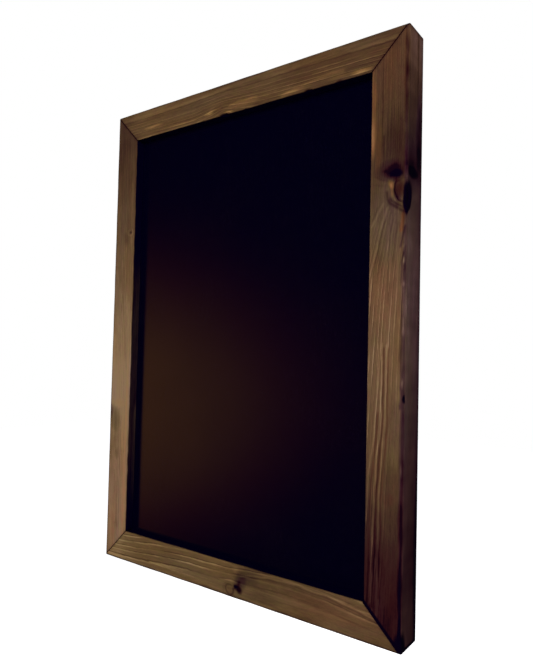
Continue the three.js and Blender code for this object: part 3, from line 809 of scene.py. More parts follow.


# The marks that each member bears, and what they add to its stain, amber, soot and green; a few of them are
# painted highlights and painted shade, noted where they stand
MARKS = {
    "left_stile": [
        spot((162, 31.3, 0), (2.6, 3.2, 4), stain=0.30, soot=0.45),
        bow((162, 31), (4.6, 4.6), (-180, 180), 0.9, 4, stain=-0.14),
        spot((173, 33, 0), (9, 4, 5), stain=-0.10, amber=0.1),
        spot((170, 22, 0), (11, 6, 6), stain=0.10),
        spot((401, 2, 0), (13, 6, 9), stain=0.24, amber=-0.3),
        spot((409, 11, 0), (21, 14, 9), stain=0.26, amber=-0.15, green=0.16, lean=(0.4, 0)),
        spot((440, 12, 0), (34, 14, 8), stain=0.08, green=0.10),
        spot((390, 18, 0), (7, 18, 8), stain=-0.12, amber=0.3),
        spot((457, 17, 0), (10, 5, 6), stain=0.12),
        spot((548, 21, 0), (9, 5, 6), stain=0.07),
        spot((410, 33.5, 0), (60, 3.0, 8), stain=-0.14, amber=0.45, green=-0.1),
        spot((505, 33.0, 0), (85, 4.0, 8), stain=-0.14, amber=0.7, green=-0.16),
        spot((560, 14, 0), (60, 8, 8), amber=0.4, green=-0.08),
        spot((478, 28, 0), (95, 4, 8), stain=-0.08, amber=0.45),
        spot((340, 34, 0), (60, 3, 8), stain=-0.08, amber=0.3),
        spot((50, 14, 0), (60, 14, 9), stain=0.08),
        spot((110, 33, 0), (70, 2.5, 6), stain=-0.10),
        spot((510, 18, 0), (110, 30, 10), green=-0.17),
        spot((380, 38.5, 6), (160, 3, 9), amber=-0.6),
    ],
    "right_stile": [
        # streaks above the knot
        spot((80, 36.3, 0), (58, 4.6, 8), stain=-0.20, amber=0.9, green=-0.14),
        spot((108, 36.6, 0), (24, 4.2, 6), stain=-0.24, amber=0.6, green=-0.14),
        spot((116, 30, 0), (30, 5, 6), stain=-0.06, amber=0.5, green=-0.06),
        spot((80, 26.2, 0), (56, 1.4, 10), stain=0.16),
        vein([(104, 25), (138, 24.2)], 1.1, stain=0.14),
        spot((112, 12, 2), (38, 14, 14), stain=0.20),
        spot((50, 20, 0), (40, 22, 8), amber=0.15, green=-0.18),
        spot((14, 20, 0), (30, 26, 8), amber=0.35, green=-0.10),
        # dark brow above the knot
        spot((141, 16, 0), (13, 19, 8), stain=0.26, amber=-0.5),
        spot((142.5, 14, 0), (8, 13, 8), stain=0.33, soot=0.34, lean=(-0.10, 0.0)),
        spot((144.6, 8.6, 0), (5.0, 6.6, 6), soot=0.85, lean=(-0.12, 0.0)),
        spot((143.9, 13.6, 0), (4.6, 7.6, 6), soot=0.75, lean=(0.10, 0.0)),
        spot((137.5, 12.0, 0), (4.5, 7.0, 6), stain=0.14, soot=0.14),
        spot((150.6, 9.5, 0), (3.4, 6.0, 5), stain=0.30, soot=0.15),
        vein([(149.5, 9.5), (151.2, 6.0), (152, 2.5)], 0.8, stain=-0.30),
        vein([(139, 25.5), (142.5, 19)], 1.2, stain=0.3, soot=0.25),
        # a painted highlight along the arris between the dark brow and the dark blob on the side
        spot((144.5, 1.5, 1), (8, 2.6, 2.6), stain=-0.2, soot=-1.2),
        # the knot, its rims and the hole across the arris
        spot((154.4, 16.4, 0), (5.0, 4.2, 5), stain=-0.26, amber=1.5, green=-0.20, lean=(-0.5, 0.0)),
        vein([(153, 16.6), (158, 15.8), (162, 14.8), (167, 14.4)], 1.6, stain=-0.14, amber=0.9,
             green=-0.30),
        vein([(156, 19.6), (163, 19.0), (169, 20)], 1.3, stain=-0.08, amber=0.2),
        spot((160, 8.4, 0), (10.5, 6.0, 6), stain=0.34, amber=0.5, green=-0.25),
        spot((168, 8.6, 0), (5.0, 4.0, 6), stain=0.14, amber=-0.5),
        vein([(151.5, 10.5), (154.5, 12.3), (161, 12.4), (166, 11.2), (170.5, 8.6), (174, 3.6)],
             1.0, stain=0.40, soot=0.35),
        vein([(161, 16.6), (168, 13.6), (172, 9.4), (176, 3.5)], 1.0, stain=-0.06, amber=0.3),
        vein([(160, 20.8), (168, 19.8), (173, 16.6), (177, 11.2), (180.4, 5.8), (184, 1.5)], 1.5,
             stain=0.27, soot=0.08),
        vein([(166, 17.6), (170, 15.4), (173.4, 11.2), (176.6, 6), (179, 3)], 0.8, stain=0.26,
             soot=0.06),
        spot((174.2, 10.2, 0), (4.6, 5.2, 5), stain=0.12),
        spot((167.6, 0, 0.8), (17.5, 5.7, 13.2), stain=0.3, soot=1.7, lean=(0.0, -0.5)),
        spot((172, 0, 4.0), (12, 5.0, 8.5), soot=1.0, lean=(0.0, -0.4)),
        spot((181, 0, 1.0), (7.5, 3.2, 3.2), stain=0.2, soot=1.0),
        # faint lines from the knot to the inner edge
        vein([(143, 35), (148, 27.5), (151.5, 20)], 0.8, stain=0.10),
        vein([(151, 38), (153.6, 30), (155.5, 21)], 0.8, stain=0.10),
        vein([(160, 37.5), (161, 29), (161.5, 21)], 0.8, stain=0.09),
        vein([(171, 37), (168, 30), (165.8, 22)], 0.8, stain=0.08),
        # veins that fan out below the knot
        vein([(175, 19), (186.4, 22.9), (199, 27.2), (215, 30.8), (229, 34.7), (246, 37.6)], 1.1,
             stain=-0.18),
        vein([(188, 21.4), (200, 25.2), (215, 28.9), (230, 32.8), (245, 35.4)], 0.8, stain=0.13),
        vein([(170.5, 24), (179, 27.9), (188.6, 32.9), (196, 37.2)], 1.2, stain=-0.13),
        vein([(173, 28), (184, 33.5), (190, 37)], 0.9, stain=0.08),
        vein([(179, 17), (191, 20.6), (206, 24.4), (222, 27.0)], 0.7, stain=-0.08),
        vein([(183, 15.4), (205, 18), (226, 20.8), (262, 21)], 0.7, stain=-0.08),
        vein([(186, 11.8), (205, 15), (224, 16.6), (250, 17)], 0.7, stain=-0.08),
        vein([(187, 13.4), (206, 16.6), (225, 18.3), (270, 18)], 0.7, stain=0.10),
        vein([(190, 8.6), (207, 11.4), (226, 13), (256, 13.4)], 0.7, stain=0.08),
        vein([(196, 7), (218, 9.4), (246, 10)], 0.7, stain=-0.07),
        spot((190, 22, 0), (44, 24, 8), amber=-0.75, green=0.33),
        spot((158, 26, 0), (20, 18, 8), stain=-0.02, amber=-0.1, green=0.08),
        spot((262, 20, 0), (40, 22, 8), stain=-0.02, amber=0.2, green=-0.20),
        spot((90, 18, 0), (50, 20, 8), green=0.16),
        spot((40, 18, 0), (36, 20, 8), amber=0.2),
        vein([(182, 3.8), (191, 4.2), (202, 5.5)], 1.9, amber=1.6, green=-1.0),
        # outer side
        spot((134, 0, 12), (30, 6, 26), stain=0.20, amber=-0.4, green=-0.15),
        spot((136.5, 0, 10), (9, 7, 14), stain=0.12, soot=0.60),
        spot((142.6, 0, 13), (7.2, 7, 16), stain=0.3, soot=1.2, lean=(0.0, -0.06)),
        spot((158, 0, 24), (13, 6, 12), stain=-0.16),
        spot((36, 0, 12), (90, 6, 30), stain=-0.05, amber=0.85, green=-0.46),
        spot((50, 1.6, 1.6), (84, 3.2, 3.2), amber=0.5, green=0.28),
        spot((10, 0, 14), (36, 6, 30), stain=-0.06),
        spot((104, 0, 28), (50, 6, 9.0), stain=0.26, amber=-1.2, green=-0.3, soot=0.32),
        spot((122, 0, 27), (22, 6, 7), stain=0.12, soot=0.25),
        spot((84, 0, 30), (14, 6, 5), stain=0.12, soot=0.20),
        spot((30, 0, 23.5), (62, 6, 2.2), stain=0.24, amber=0.4, green=-0.3),
        # darker spots on the eased edge near the top: painted shade where the edge turns from the light
        spot((48, 2.8, 0.2), (56, 2.4, 2.2), stain=0.20),
        spot((18, 1.6, 1.4), (12, 2.8, 3.4), stain=0.22),
        spot((46, 1.4, 1.8), (27, 2.8, 4.4), stain=0.26),
        spot((270, 1.2, 0.6), (90, 2.6, 2.2), amber=-0.5, green=0.14),
        spot((390, 0, 35.5), (400, 7, 8.0), stain=0.20, amber=-0.5, soot=0.30),
        spot((520, 0, 14), (140, 6, 34), stain=-0.04, amber=0.42, green=-1.10),
        spot((530, 0, 33), (110, 6, 8), stain=0.20, soot=0.55),
        spot((359, 0, 1.2), (5.2, 3, 3.0), stain=0.25, soot=1.3),
        spot((358, 5, 0), (8, 5, 2.5), stain=-0.10, amber=0.2),
        # arris: dark lines along it, and pale spots that are painted glints of light on the edge, partly worn
        # chips
        vein([(194, 1.6), (206, 3.4), (217, 5.8)], 0.9, stain=0.26, amber=-0.5),
        vein([(214, 1.6), (222, 2.6), (231, 4.6)], 0.9, stain=0.34, amber=-0.5),
        vein([(229, 4.6), (250, 4.0), (300, 3.8), (370, 3.6)], 1.1, stain=0.26, amber=-0.6),
        # pale spots: painted glints on the edge, partly worn chips
        *[spot((s, 2.4, 0.3), (half, 1.5, 1.4), stain=-0.28, amber=-0.1, green=0.1)
          for s, half in ((217, 5), (229, 5), (251, 4), (288, 8), (296, 6), (345, 6), (426, 8))],
        spot((235, 1.4, 0.6), (6, 1.6, 1.6), stain=0.22, soot=0.2),
        spot((450, 3.4, 0), (150, 1.7, 3), stain=0.16, amber=-0.5),
        spot((574, 2.0, 0), (84, 2.4, 2.2), stain=0.35, amber=-0.4, soot=0.95),
        spot((490, 1.2, 0.3), (96, 2.2, 2.2), stain=0.24, soot=0.28),
        # bold light and dark lines that draw in to the inner edge
        vein([(306, 26.8), (350, 27.6), (398, 30.6), (435, 35.4), (480, 37.4)], 0.9, stain=-0.18),
        vein([(306, 23.2), (388, 23.8), (416, 27.2), (444, 29.0), (511, 31.0), (556, 31.6)], 0.8,
             stain=-0.22),
        vein([(306, 18.4), (388, 19.2), (416, 21.8), (444, 23.8), (487, 24.6), (566, 25.4)], 0.8,
             stain=-0.18),
        vein([(396, 17.2), (430, 20.2), (462, 21.4)], 0.6, stain=-0.08),
        vein([(372, 26.4), (400, 28.2), (439, 32.2), (480, 33.8), (560, 34.6)], 0.9, stain=0.15,
             amber=0.3, green=-0.3),
        vein([(310, 21.0), (390, 21.8), (420, 24.8), (450, 26.6), (509, 28.2), (560, 29.2)], 0.9,
             stain=0.22, amber=0.2, green=-0.3),
        vein([(310, 16.6), (392, 17.2), (430, 20.6), (467, 22.2), (550, 23.2)], 0.7, stain=0.15,
             amber=0.3, green=-0.3),
        # lower end
        spot((418, 13, 0), (16, 9, 6), stain=-0.04, green=0.22),
        spot((455, 14, 0), (8, 7, 6), stain=0.05, amber=0.2, green=-0.30),
        spot((482, 12, 0), (16, 9, 6), stain=-0.03, green=0.14),
        spot((512, 27, 0), (17, 7, 6), stain=0.10, soot=0.12),
        spot((545, 12, 0), (20, 9, 6), stain=-0.04, amber=0.2),
        spot((575, 15, 0), (22, 9, 6), stain=0.07, soot=0.10),
        spot((560, 20, 0), (60, 24, 10), amber=0.25, green=-0.22),
        spot((588, 1, 1), (17, 9, 12), stain=0.2, soot=1.3),
    ],
    "top_rail": [
        spot((68, 26.5, 0), (22, 2.2, 5), stain=-0.24, amber=0.5),
        spot((46, 20, 0), (40, 22, 8), stain=-0.04),
        spot((320, 20, 0), (70, 22, 8), amber=0.12, green=-0.06),
        spot((405, 20, 0), (40, 24, 8), stain=0.05, amber=0.2, green=-0.12),
        spot((330, 20, 0), (50, 24, 8), stain=0.03),
        spot((125, 34, 0), (34, 1.8, 5), stain=-0.16, amber=0.25),
        spot((166, 31.5, 0), (9, 2.4, 5), stain=-0.30, amber=0.5, lean=(-1.0, 0)),
        spot((180, 30, 0), (12, 5, 5), stain=0.12),
        spot((190, 38.5, 1), (9, 3.2, 6), stain=0.25, soot=1.1),
        spot((196, 35.8, 0), (9, 1.8, 5), stain=-0.35, amber=0.6, lean=(1.2, 0)),
        vein([(166, 29.6), (176, 29.2), (186, 28.6)], 1.0, stain=-0.16, amber=0.3),
        vein([(196, 29.4), (208, 27.6), (226, 27.8), (240, 28.6)], 1.1, stain=-0.17, amber=0.3),
        spot((218, 31.6, 0), (26, 4.4, 6), stain=-0.12, amber=0.2, green=-0.10),
        spot((240, 35.8, 0), (9, 1.8, 5), stain=0.16),
        vein([(271, 35.8), (284, 33.8), (304, 30.6), (334, 27.6), (352, 29)], 2.1, stain=-0.17,
             amber=0.3),
        spot((288, 34.6, 0), (18, 2.2, 6), stain=-0.14, amber=0.3),
        spot((345, 33, 0), (26, 2.6, 6), stain=-0.10, amber=0.35),
        spot((370, 34.4, 0), (14, 3.0, 6), stain=-0.36, amber=0.9),
        spot((307, 38.4, 1), (7, 3.0, 4), stain=0.35, soot=0.7),
        spot((345, 38.4, 1), (5, 2, 4), stain=0.30, soot=0.3),
        spot((105, 37.5, 0.5), (90, 1.2, 3), stain=-0.16),
        spot((70, 16, 0), (70, 3, 6), stain=0.06),
    ],
    "bottom_rail": [
        spot((224.8, 13.6, 0), (4.0, 3.6, 6), stain=0.3, soot=1.0),
        spot((230.0, 11.4, 0), (4.8, 5.0, 6), stain=0.55, amber=-0.2, soot=0.30, lean=(-0.3, 0)),
        spot((229, 18.5, 0), (3.2, 5.0, 6), stain=0.22, soot=0.2, lean=(0.3, 0)),
        spot((216, 8.4, 0), (5.5, 5.0, 5), stain=0.06, amber=0.3),
        spot((227, 14, 0), (9, 8, 8), stain=0.18),
        bow((216.2, 9.0), (5.8, 5.6), (40, 300), 1.2, 5, stain=0.24),
        bow((216.2, 9.0), (5.8, 5.6), (-90, 40), 1.3, 5, stain=0.32),
        bow((216.5, 8.4), (9.6, 9.0), (80, 260), 1.0, 5, stain=0.07),
        spot((231, 20, 0), (10, 12, 8), stain=0.26, amber=-0.5, lean=(0.2, 0)),
        spot((240, 27, 0), (20, 12, 8), stain=0.17, amber=-0.4, green=0.05, lean=(0.6, 0)),
        vein([(229, 27.6), (246, 31), (268, 34), (305, 35.4), (340, 34), (368, 30.4), (402, 24.4)],
             0.9, stain=-0.17),
        vein([(231, 25.6), (248, 29), (270, 32), (306, 33.2), (342, 31.8), (370, 28), (402, 22)],
             0.9, stain=0.12),
        spot((224, 33, 0), (6, 6, 6), stain=-0.12),
        spot((10, 6, 0), (40, 12, 8), stain=-0.05, amber=0.2),
        spot((398, 6, 0), (30, 8, 8), stain=0.06, amber=0.3),
        spot((355, 20, 0), (80, 22, 8), stain=-0.02, amber=0.25, green=-0.28),
        spot((322, 20, 0), (34, 24, 8), stain=0.05),
    ],
}
AMBER_BASE = {"left_stile": 0.16, "right_stile": 0.18, "top_rail": 0.42, "bottom_rail": 0.36}
OLIVE = {"left_stile": 0.05, "right_stile": 0.0, "top_rail": 0.12, "bottom_rail": 0.20}
# The outer side's amber and green, its cross bands, and how much of the figure shows there
OUTER_SIDE = {
    "left_stile": {"amber": 0.10, "green": 0.02, "bands": 0.0, "figure": 0.8},
    "right_stile": {"amber": -0.7, "green": -0.04, "bands": 0.035, "figure": 0.25},
    "top_rail": {"amber": 0.30, "green": 0.08, "bands": 0.0, "figure": 0.8},
    "bottom_rail": {"amber": 0.20, "green": 0.08, "bands": 0.0, "figure": 0.8},
}
# Darkening of the eased edge between the front and the outer side: some stain, and painted shade where the edge
# turns from the light
EDGE_STAIN_AND_SHADE = {"right_stile": [(0, 0.22), (70, 0.22), (100, 0.14), (150, 0.10), (190, 0.14),
                              (220, 0.20), (248, 0.34), (270, 0.24), (285, 0.14), (300, 0.22),
                              (322, 0.34), (370, 0.28), (410, 0.18), (450, 0.24)]}
# How much darker and less green the outer side turns from its front edge to the back
SIDE_DEEPENS = {"right_stile": [(0, 0.0), (70, 0.02), (160, 0.24)]}
# Where the near-black painted shade on the reveals begins, counted round the sight edge from the front face
RECESS_SHADE_EDGE = {"left_stile": 0.5, "right_stile": 1.9, "top_rail": 1.0, "bottom_rail": 1.7}
RECESS_SHADE_FEATHER = 2.4
# How fully the painted shade covers along the member; on the left stile it thins where light fell on the reveal,
# so that thinner part is painted light
RECESS_SHADE_COVER = {"left_stile": [(0, 1.0), (150, 1.0), (230, 0.55), (440, 0.45), (520, 0.72), (570, 1.0)]}
# Open cracks and chips: centre, reach and depth
HOLLOWS = {
    "left_stile": [((162, 31.3, 0), (1.8, 2.2, 4), 0.3)],
    "right_stile": [
        ((144, 10, 0), (6, 8, 5), 0.45),
        ((140.5, 0, 12.5), (6.5, 4, 12), 0.5),
        ((166, 0, 2.0), (14.5, 4.8, 9.6), 1.9),
        ((359, 0, 1.5), (4.5, 3, 3.5), 1.0),
    ],
    "top_rail": [
        ((190, 38.5, 1), (7, 3, 5), 1.2),
        ((307, 38.5, 1), (5, 2.4, 4), 0.8),
    ],
    "bottom_rail": [
        ((225.5, 12.8, 0), (2.8, 2.4, 4), 0.7),
    ],
}
# How far the wood is dark beside each mitre, and its soot there, at the member's start and end
JOINTS = {
    "left_stile": ((1.2, 0.30), (1.1, 0.50)),
    "right_stile": ((1.3, 0.15), (4.4, 1.3)),
    "top_rail": ((1.2, 0.30), (1.3, 0.15)),
    "bottom_rail": ((1.1, 0.50), (1.8, 1.3)),
}

# How the wood's surface and colour change at random: reach along s, u and v, and seed
SWELLS = {
    "recess_shade_border": ((14, 30, 30), 90),
    "back_stain": ((60, 12, 12), 91),
    "hidden_stain": ((40, 8, 8), 92),
    "amber": ((60, 10, 10), 93),
    "worn_arris": ((22, 5, 5), 94),
    "mark_edge_s": ((10, 5, 5), 94),
    "mark_edge_u": ((10, 5, 5), 95),
    "mark_edge_v": ((10, 5, 5), 96),
    "planing": ((60, 9, 9), 95),
    "fine_planing": ((9, 3, 3), 96),
    "arris_wear": ((30, 8, 8), 97),
    "hollow_edge": ((5, 3, 3), 98),
    "side_bands": ((8, 30, 18), 99),
}
WAVES = 14
WAVE_TURNS = 2.2  # how fast a wave turns within its reach
CURVE_ROUNDING = 14  # millimetres on each side over which the corner of a curve is rounded
KNOT_PUSH = 0.9  # share of the way round a knot that the rings bend
KNOT_PUSH_REACH = 1.25  # in radii of the knot
LEAST_KNOT_DISTANCE = 0.1
FARTHEST_KNOT_EDGE = 20
GROWTH_WOBBLES = [((110, 20, 20), 0.40), ((40, 12, 12), 0.07)]  # reach and height
UNEVEN_YEARS = [(0.30, 2.9, 1), (0.22, 7.7, 2)]  # rings, millimetres of growth and start

# Stain of the surfaces that have no curve of their own, the painted shade that darkens the reveal in the recess,
# and how the fields act on each other
REVEAL_STAIN, RECESS_SHADE_DARKENING = 0.40, 0.46
BACK_STAIN, HIDDEN_STAIN, PATCHY = 0.34, 0.16, 0.10
AMBER_PATCHY = 0.14
RECESS_SHADE_RAGGED = 0.35
MARK_RAGGED = 0.35
SHADE_TURNS = 0.45  # share of the depth at which the outer side has its middle tone
SHADE_LESS_GREEN = 2.0
DARK_LESS_AMBER = 0.5
DARK_FOR_AMBER = (0.70, 1.0)  # stain at which the amber begins to go and has gone
DARK_LESS_GREEN, DARK_SIDE_LESS_GREEN = 0.30, 0.15
DARK_FOR_GREEN = (0.55, 0.85)
JOINT_STAIN, JOINT_SHADE = 0.45, 0.10
JOINT_CORE = 0.35  # share of a joint line's reach in which it is full
JOINT_SHADE_WIDTH = (5.0, 0.5)
ARRIS_STAIN = 0.10
ARRIS_MIDDLE, ARRIS_SPREAD = 0.9, 1.3
ARRIS_ENDS = (5.0, 3.2)
EDGE_STAIN_AND_SHADE_ENDS = (2.6, 0.8)
BACK_FIGURE_LOSS = 0.4
MOST_SOOT = 1.5
MARK_FIELDS = {"stain": "tone", "amber": "amber", "soot": "soot", "green": "olive"}


def arc_points(centre_u, centre_v, radius, start, end, steps):
    angles = np.radians(np.linspace(start, end, steps + 1)[1:])
    return [(centre_u + radius * math.cos(a), centre_v + radius * math.sin(a)) for a in angles]


def line_points(start, end, step):
    count = max(1, round(math.dist(start, end) / step))
    return [tuple(np.array(start) + (np.array(end) - start) * i / count)
            for i in range(1, count + 1)]


def section_outline():
    """The planed section as points (u, v), and the way out of the wood at each."""
    sight = FACE_WIDTH - SIGHT_ARRIS
    points = line_points((FRONT_ARRIS, 0), (sight, 0), FRONT_STEP)
    points += arc_points(sight, SIGHT_ARRIS, SIGHT_ARRIS, -90, 0, ARRIS_STEPS // 2)
    points += line_points(points[-1], (FACE_WIDTH, LIP_DEPTH), REVEAL_STEP)
    points += line_points(points[-1], (LAND_WIDTH, LIP_DEPTH), HIDDEN_STEP)
    points += line_points(points[-1], (LAND_WIDTH, FRAME_DEPTH - REBATE_ARRIS), HIDDEN_STEP)
    points += [(LAND_WIDTH - REBATE_ARRIS, FRAME_DEPTH)]
    points += line_points(points[-1], (BACK_ARRIS, FRAME_DEPTH), BACK_STEP)
    points += arc_points(BACK_ARRIS, FRAME_DEPTH - BACK_ARRIS, BACK_ARRIS, 90, 180,
                         ARRIS_STEPS // 2)
    points += line_points(points[-1], (0, FRONT_ARRIS), SIDE_STEP)
    points += arc_points(FRONT_ARRIS, FRONT_ARRIS, FRONT_ARRIS, 180, 270, ARRIS_STEPS)
    points = np.array(points)
    onward = np.roll(points, -1, 0) - np.roll(points, 1, 0)
    onward /= np.linalg.norm(onward, axis=1)[:, None]
    return points, np.stack((onward[:, 1], -onward[:, 0]), 1)


def waves(place, reach, seed):
    """Smooth random swell, about -1 to 1, whose hills are about `reach` millimetres each way."""
    rng = np.random.default_rng(seed)
    total = np.zeros(len(place))
    for _ in range(WAVES):
        way = rng.normal(size=3) * WAVE_TURNS / np.array(reach)
        total += np.sin(place @ way + rng.uniform(0, 2 * math.pi))
    return total / math.sqrt(WAVES)


def swell(place, name):
    return waves(place, *SWELLS[name])


def along_curve(stops, s, column=1):
    """Reads a table of stops at s, with straight runs between them and rounded corners."""
    places = [stop[0] for stop in stops]
    values = [stop[column] for stop in stops]
    margin = 2 * CURVE_ROUNDING
    fine = np.arange(places[0] - margin, places[-1] + margin + 1.0)
    window = np.hanning(margin + 1)
    padded = np.pad(np.interp(fine, places, values), CURVE_ROUNDING, mode="edge")
    rounded = np.convolve(padded, window / window.sum(), mode="valid")
    return np.interp(s, fine, rounded)


def edge_to_edge(stops, s, share):
    """Reads a table of (s, at the outer edge, at the inner edge), mixed by the share."""
    return blend(along_curve(stops, s, 1), along_curve(stops, s, 2), share)


def figure_strength(name, s, u):
    """How strongly the growth rings show, which changes in the middle half of the face."""
    return edge_to_edge(GROWTH[name]["figure"], s, smooth(u, *FIGURE_CHANGES))


def round_knot(knot, place):
    """Distance round the knot's axis, and how far and which way the place lies across it."""
    centre, branch, _, stretch = knot
    way = np.array(branch, float)
    way /= np.linalg.norm(way)
    along = np.array((1.0, 0, 0)) - way * way[0]
    along /= np.linalg.norm(along)
    across = np.cross(way, along)
    offset = place - np.array(centre, float)
    aside = offset @ across
    return np.hypot(offset @ along / stretch, aside), aside, across


def growth_rings(name, place):
    """Ring count at each place: it grows by one from ring to ring."""
    tree = GROWTH[name]
    bent = place.copy()
    for knot in KNOTS[name]:
        distance, aside, across = round_knot(knot, place)
        near = KNOT_PUSH_REACH * knot[2] / np.maximum(distance, LEAST_KNOT_DISTANCE)
        push = np.minimum(1, near ** 2) * KNOT_PUSH
        bent -= across * (aside * push)[:, None]
    s, u, v = bent.T
    drift = edge_to_edge(tree["drift"], s, u / FACE_WIDTH)
    wobble = sum(waves(place, reach, tree["seed"] + number) * height
                 for number, (reach, height) in enumerate(GROWTH_WOBBLES))
    pith_u, pith_v = tree["pith"]
    radius = np.hypot(u - drift + wobble - pith_u, v - pith_v)
    uneven = sum(rings * np.sin(radius / run + start) for rings, run, start in UNEVEN_YEARS)
    return radius / tree["ring"] + uneven


def knot_edges(name, place):
    """Distance outside the nearest knot's edge, negative inside it."""
    edges = [round_knot(knot, place)[0] - knot[2] for knot in KNOTS[name]]
    return np.clip(np.min(edges, 0), -FARTHEST_KNOT_EDGE, FARTHEST_KNOT_EDGE)


def mitre_distance(place, length):
    """Distance from the nearer mitre, along the member, and whether that is its start."""
    s, u = place[:, 0], place[:, 1]
    start, end = s - u, length - u - s
    return np.minimum(start, end), start < end


def surfaces(name, place):
    """Shares of each place in the back, the outer side, the reveal under its painted shade and the rebate."""
    u, v = place[:, 1], place[:, 2]
    back = smooth(v, *BACK_BEGINS) * smooth(u, *BACK_INSIDE)
    side = smooth(v - u, *SIDE_BEGINS) * smooth(u, *SIDE_INSIDE) * (1 - back)
    over = u - (FACE_WIDTH - SIGHT_ARRIS) + v + RECESS_SHADE_RAGGED * swell(place, "recess_shade_border")
    reveal = smooth(over, RECESS_SHADE_EDGE[name], RECESS_SHADE_EDGE[name] + RECESS_SHADE_FEATHER)
    reveal *= smooth(v, *REVEAL_ENDS) * smooth(u, *REBATE_INSIDE)
    rebate = smooth(v, *REBATE_BEGINS) * smooth(u, *REBATE_INSIDE)
    return back, side, reveal, rebate


def even_fields(name, place, back, side, reveal, rebate):
    """The fields of the stained wood, with the painted shade on the reveals and the painted light and shade in the
    front's stain, without its marks, joints and wear.
    """
    s, u, v = place.T
    outer = OUTER_SIDE[name]
    recess_shade = along_curve(RECESS_SHADE_COVER.get(name, [(0, 1.0)]), s)
    deepens = along_curve(SIDE_DEEPENS.get(name, [(0, 0.0)]), s)
    shade = side * deepens * (v / FRAME_DEPTH - SHADE_TURNS)
    # the front curves carry painted light and shade as well as stain
    tone = blend(along_curve(STAIN_AND_PAINTED_LIGHT[name]["front"], s), along_curve(STAIN_AND_PAINTED_LIGHT[name]["side"], s), side)
    tone = blend(tone, REVEAL_STAIN + RECESS_SHADE_DARKENING * recess_shade, reveal)
    tone = blend(tone, BACK_STAIN + PATCHY * swell(place, "back_stain"), back)
    tone = blend(tone, HIDDEN_STAIN + PATCHY * swell(place, "hidden_stain"), rebate)
    tone += side * outer["bands"] * swell(place, "side_bands") + shade
    amber = blend(AMBER_BASE[name], outer["amber"], side)
    amber += AMBER_PATCHY * swell(place, "amber")
    amber -= DARK_LESS_AMBER * smooth(tone, *DARK_FOR_AMBER)
    olive = blend(OLIVE[name], outer["green"], side)
    less_green = DARK_LESS_GREEN + DARK_SIDE_LESS_GREEN * side
    olive -= less_green * smooth(tone, *DARK_FOR_GREEN) + SHADE_LESS_GREEN * shade
    figure = figure_strength(name, s, u)
    figure = figure * (1 - side + outer["figure"] * side) * (1 - BACK_FIGURE_LOSS * back)
    return {
        "tone": tone,
        "amber": amber,
        "olive": olive,
        "soot": np.zeros(len(place)),
        "recess_shade": recess_shade * reveal,
        "figure": figure,
    }


def add_marks(fields, name, place):
    """Lays the member's marks on, with edges that waver."""
    swells = np.stack([swell(place, f"mark_edge_{way}") for way in "suv"], 1)
    ragged = place + MARK_RAGGED * swells
    for mask, adds in MARKS[name]:
        share = mask(ragged)
        for kind, strength in adds.items():
            fields[MARK_FIELDS[kind]] += strength * share


def add_joints(fields, name, place, length):
    """The dark line of glue and stain in each mitre, and a soft shade beside it."""
    gap, at_start = mitre_distance(place, length)
    (start_reach, start_soot), (end_reach, end_soot) = JOINTS[name]
    reach = np.where(at_start, start_reach, end_reach)
    close = smooth(gap, reach, reach * JOINT_CORE)
    fields["soot"] += np.where(at_start, start_soot, end_soot) * close
    fields["tone"] += JOINT_STAIN * close + JOINT_SHADE * smooth(gap, *JOINT_SHADE_WIDTH)


def add_arris_shade_and_wear(fields, name, place, side):
    """Stain and painted shade on the eased outer edge, and wood that was worn pale along it."""
    s, u, v = place.T
    edge_stain = along_curve(EDGE_STAIN_AND_SHADE.get(name, [(0, 0.0)]), s)
    arris = np.exp(-((np.minimum(u, v) - ARRIS_MIDDLE) / ARRIS_SPREAD) ** 2)
    arris *= smooth(np.maximum(u, v), *ARRIS_ENDS)
    worn = arris * ARRIS_STAIN * (0.5 - swell(place, "worn_arris"))
    # the edge term is painted shade where the edge turns from the light, with some stain
    fields["tone"] += worn + edge_stain * side * smooth(v, *EDGE_STAIN_AND_SHADE_ENDS)


def stain_fields(name, place, length):
    """How dark, warm, green and sooty the wood is at each place, and how strong its figure."""
    back, side, reveal, rebate = surfaces(name, place)
    fields = even_fields(name, place, back, side, reveal, rebate)
    add_marks(fields, name, place)
    add_joints(fields, name, place, length)
    add_arris_shade_and_wear(fields, name, place, side)
    fields["amber"] = np.clip(fields["amber"], -1, 1)
    fields["soot"] = np.clip(fields["soot"], 0, MOST_SOOT)
    return fields


def hollow_share(place, centre, reach):
    """1 at a hollow's centre, falling smoothly to 0 at its reach."""
    far = ((place - np.array(centre, float)) / np.array(reach, float)) ** 2
    return np.clip(1 - far.sum(1), 0, 1) ** HOLLOW_FADE


def relief(name, place, length):
    """How far the surface lies below the planed size, in millimetres."""
    s, u, v = place.T
    rings = growth_rings(name, place) % 1.0
    raised = smooth(rings, *GRAIN_RISES) * smooth(rings, *GRAIN_FALLS)
    depth = PLANED_OFF - RAISED_GRAIN * raised * figure_strength(name, s, u)
    depth = depth + UNEVEN_PLANING * swell(place, "planing")
    depth = depth + FINE_PLANING * swell(place, "fine_planing")
    depth -= KNOT_STANDS_OUT * smooth(knot_edges(name, place), *KNOT_RISES)
    near_arris = smooth(np.minimum(u, FACE_WIDTH - u) + v, *WORN_ARRIS)
    depth += near_arris * ARRIS_WEAR * (1 + swell(place, "arris_wear"))
    ragged = 1 + HOLLOW_RAGGED * swell(place, "hollow_edge")
    for centre, reach, deep in HOLLOWS[name]:
        depth += deep * smooth(hollow_share(place, centre, reach) * ragged, *HOLLOW_RISES)
    gap, _ = mitre_distance(place, length)
    depth += EASED_MITRE * np.clip(1 - gap / EASED_MITRE_WIDTH, 0, 1) ** EASED_MITRE_FADE
    return np.maximum(depth, LEAST_RELIEF)


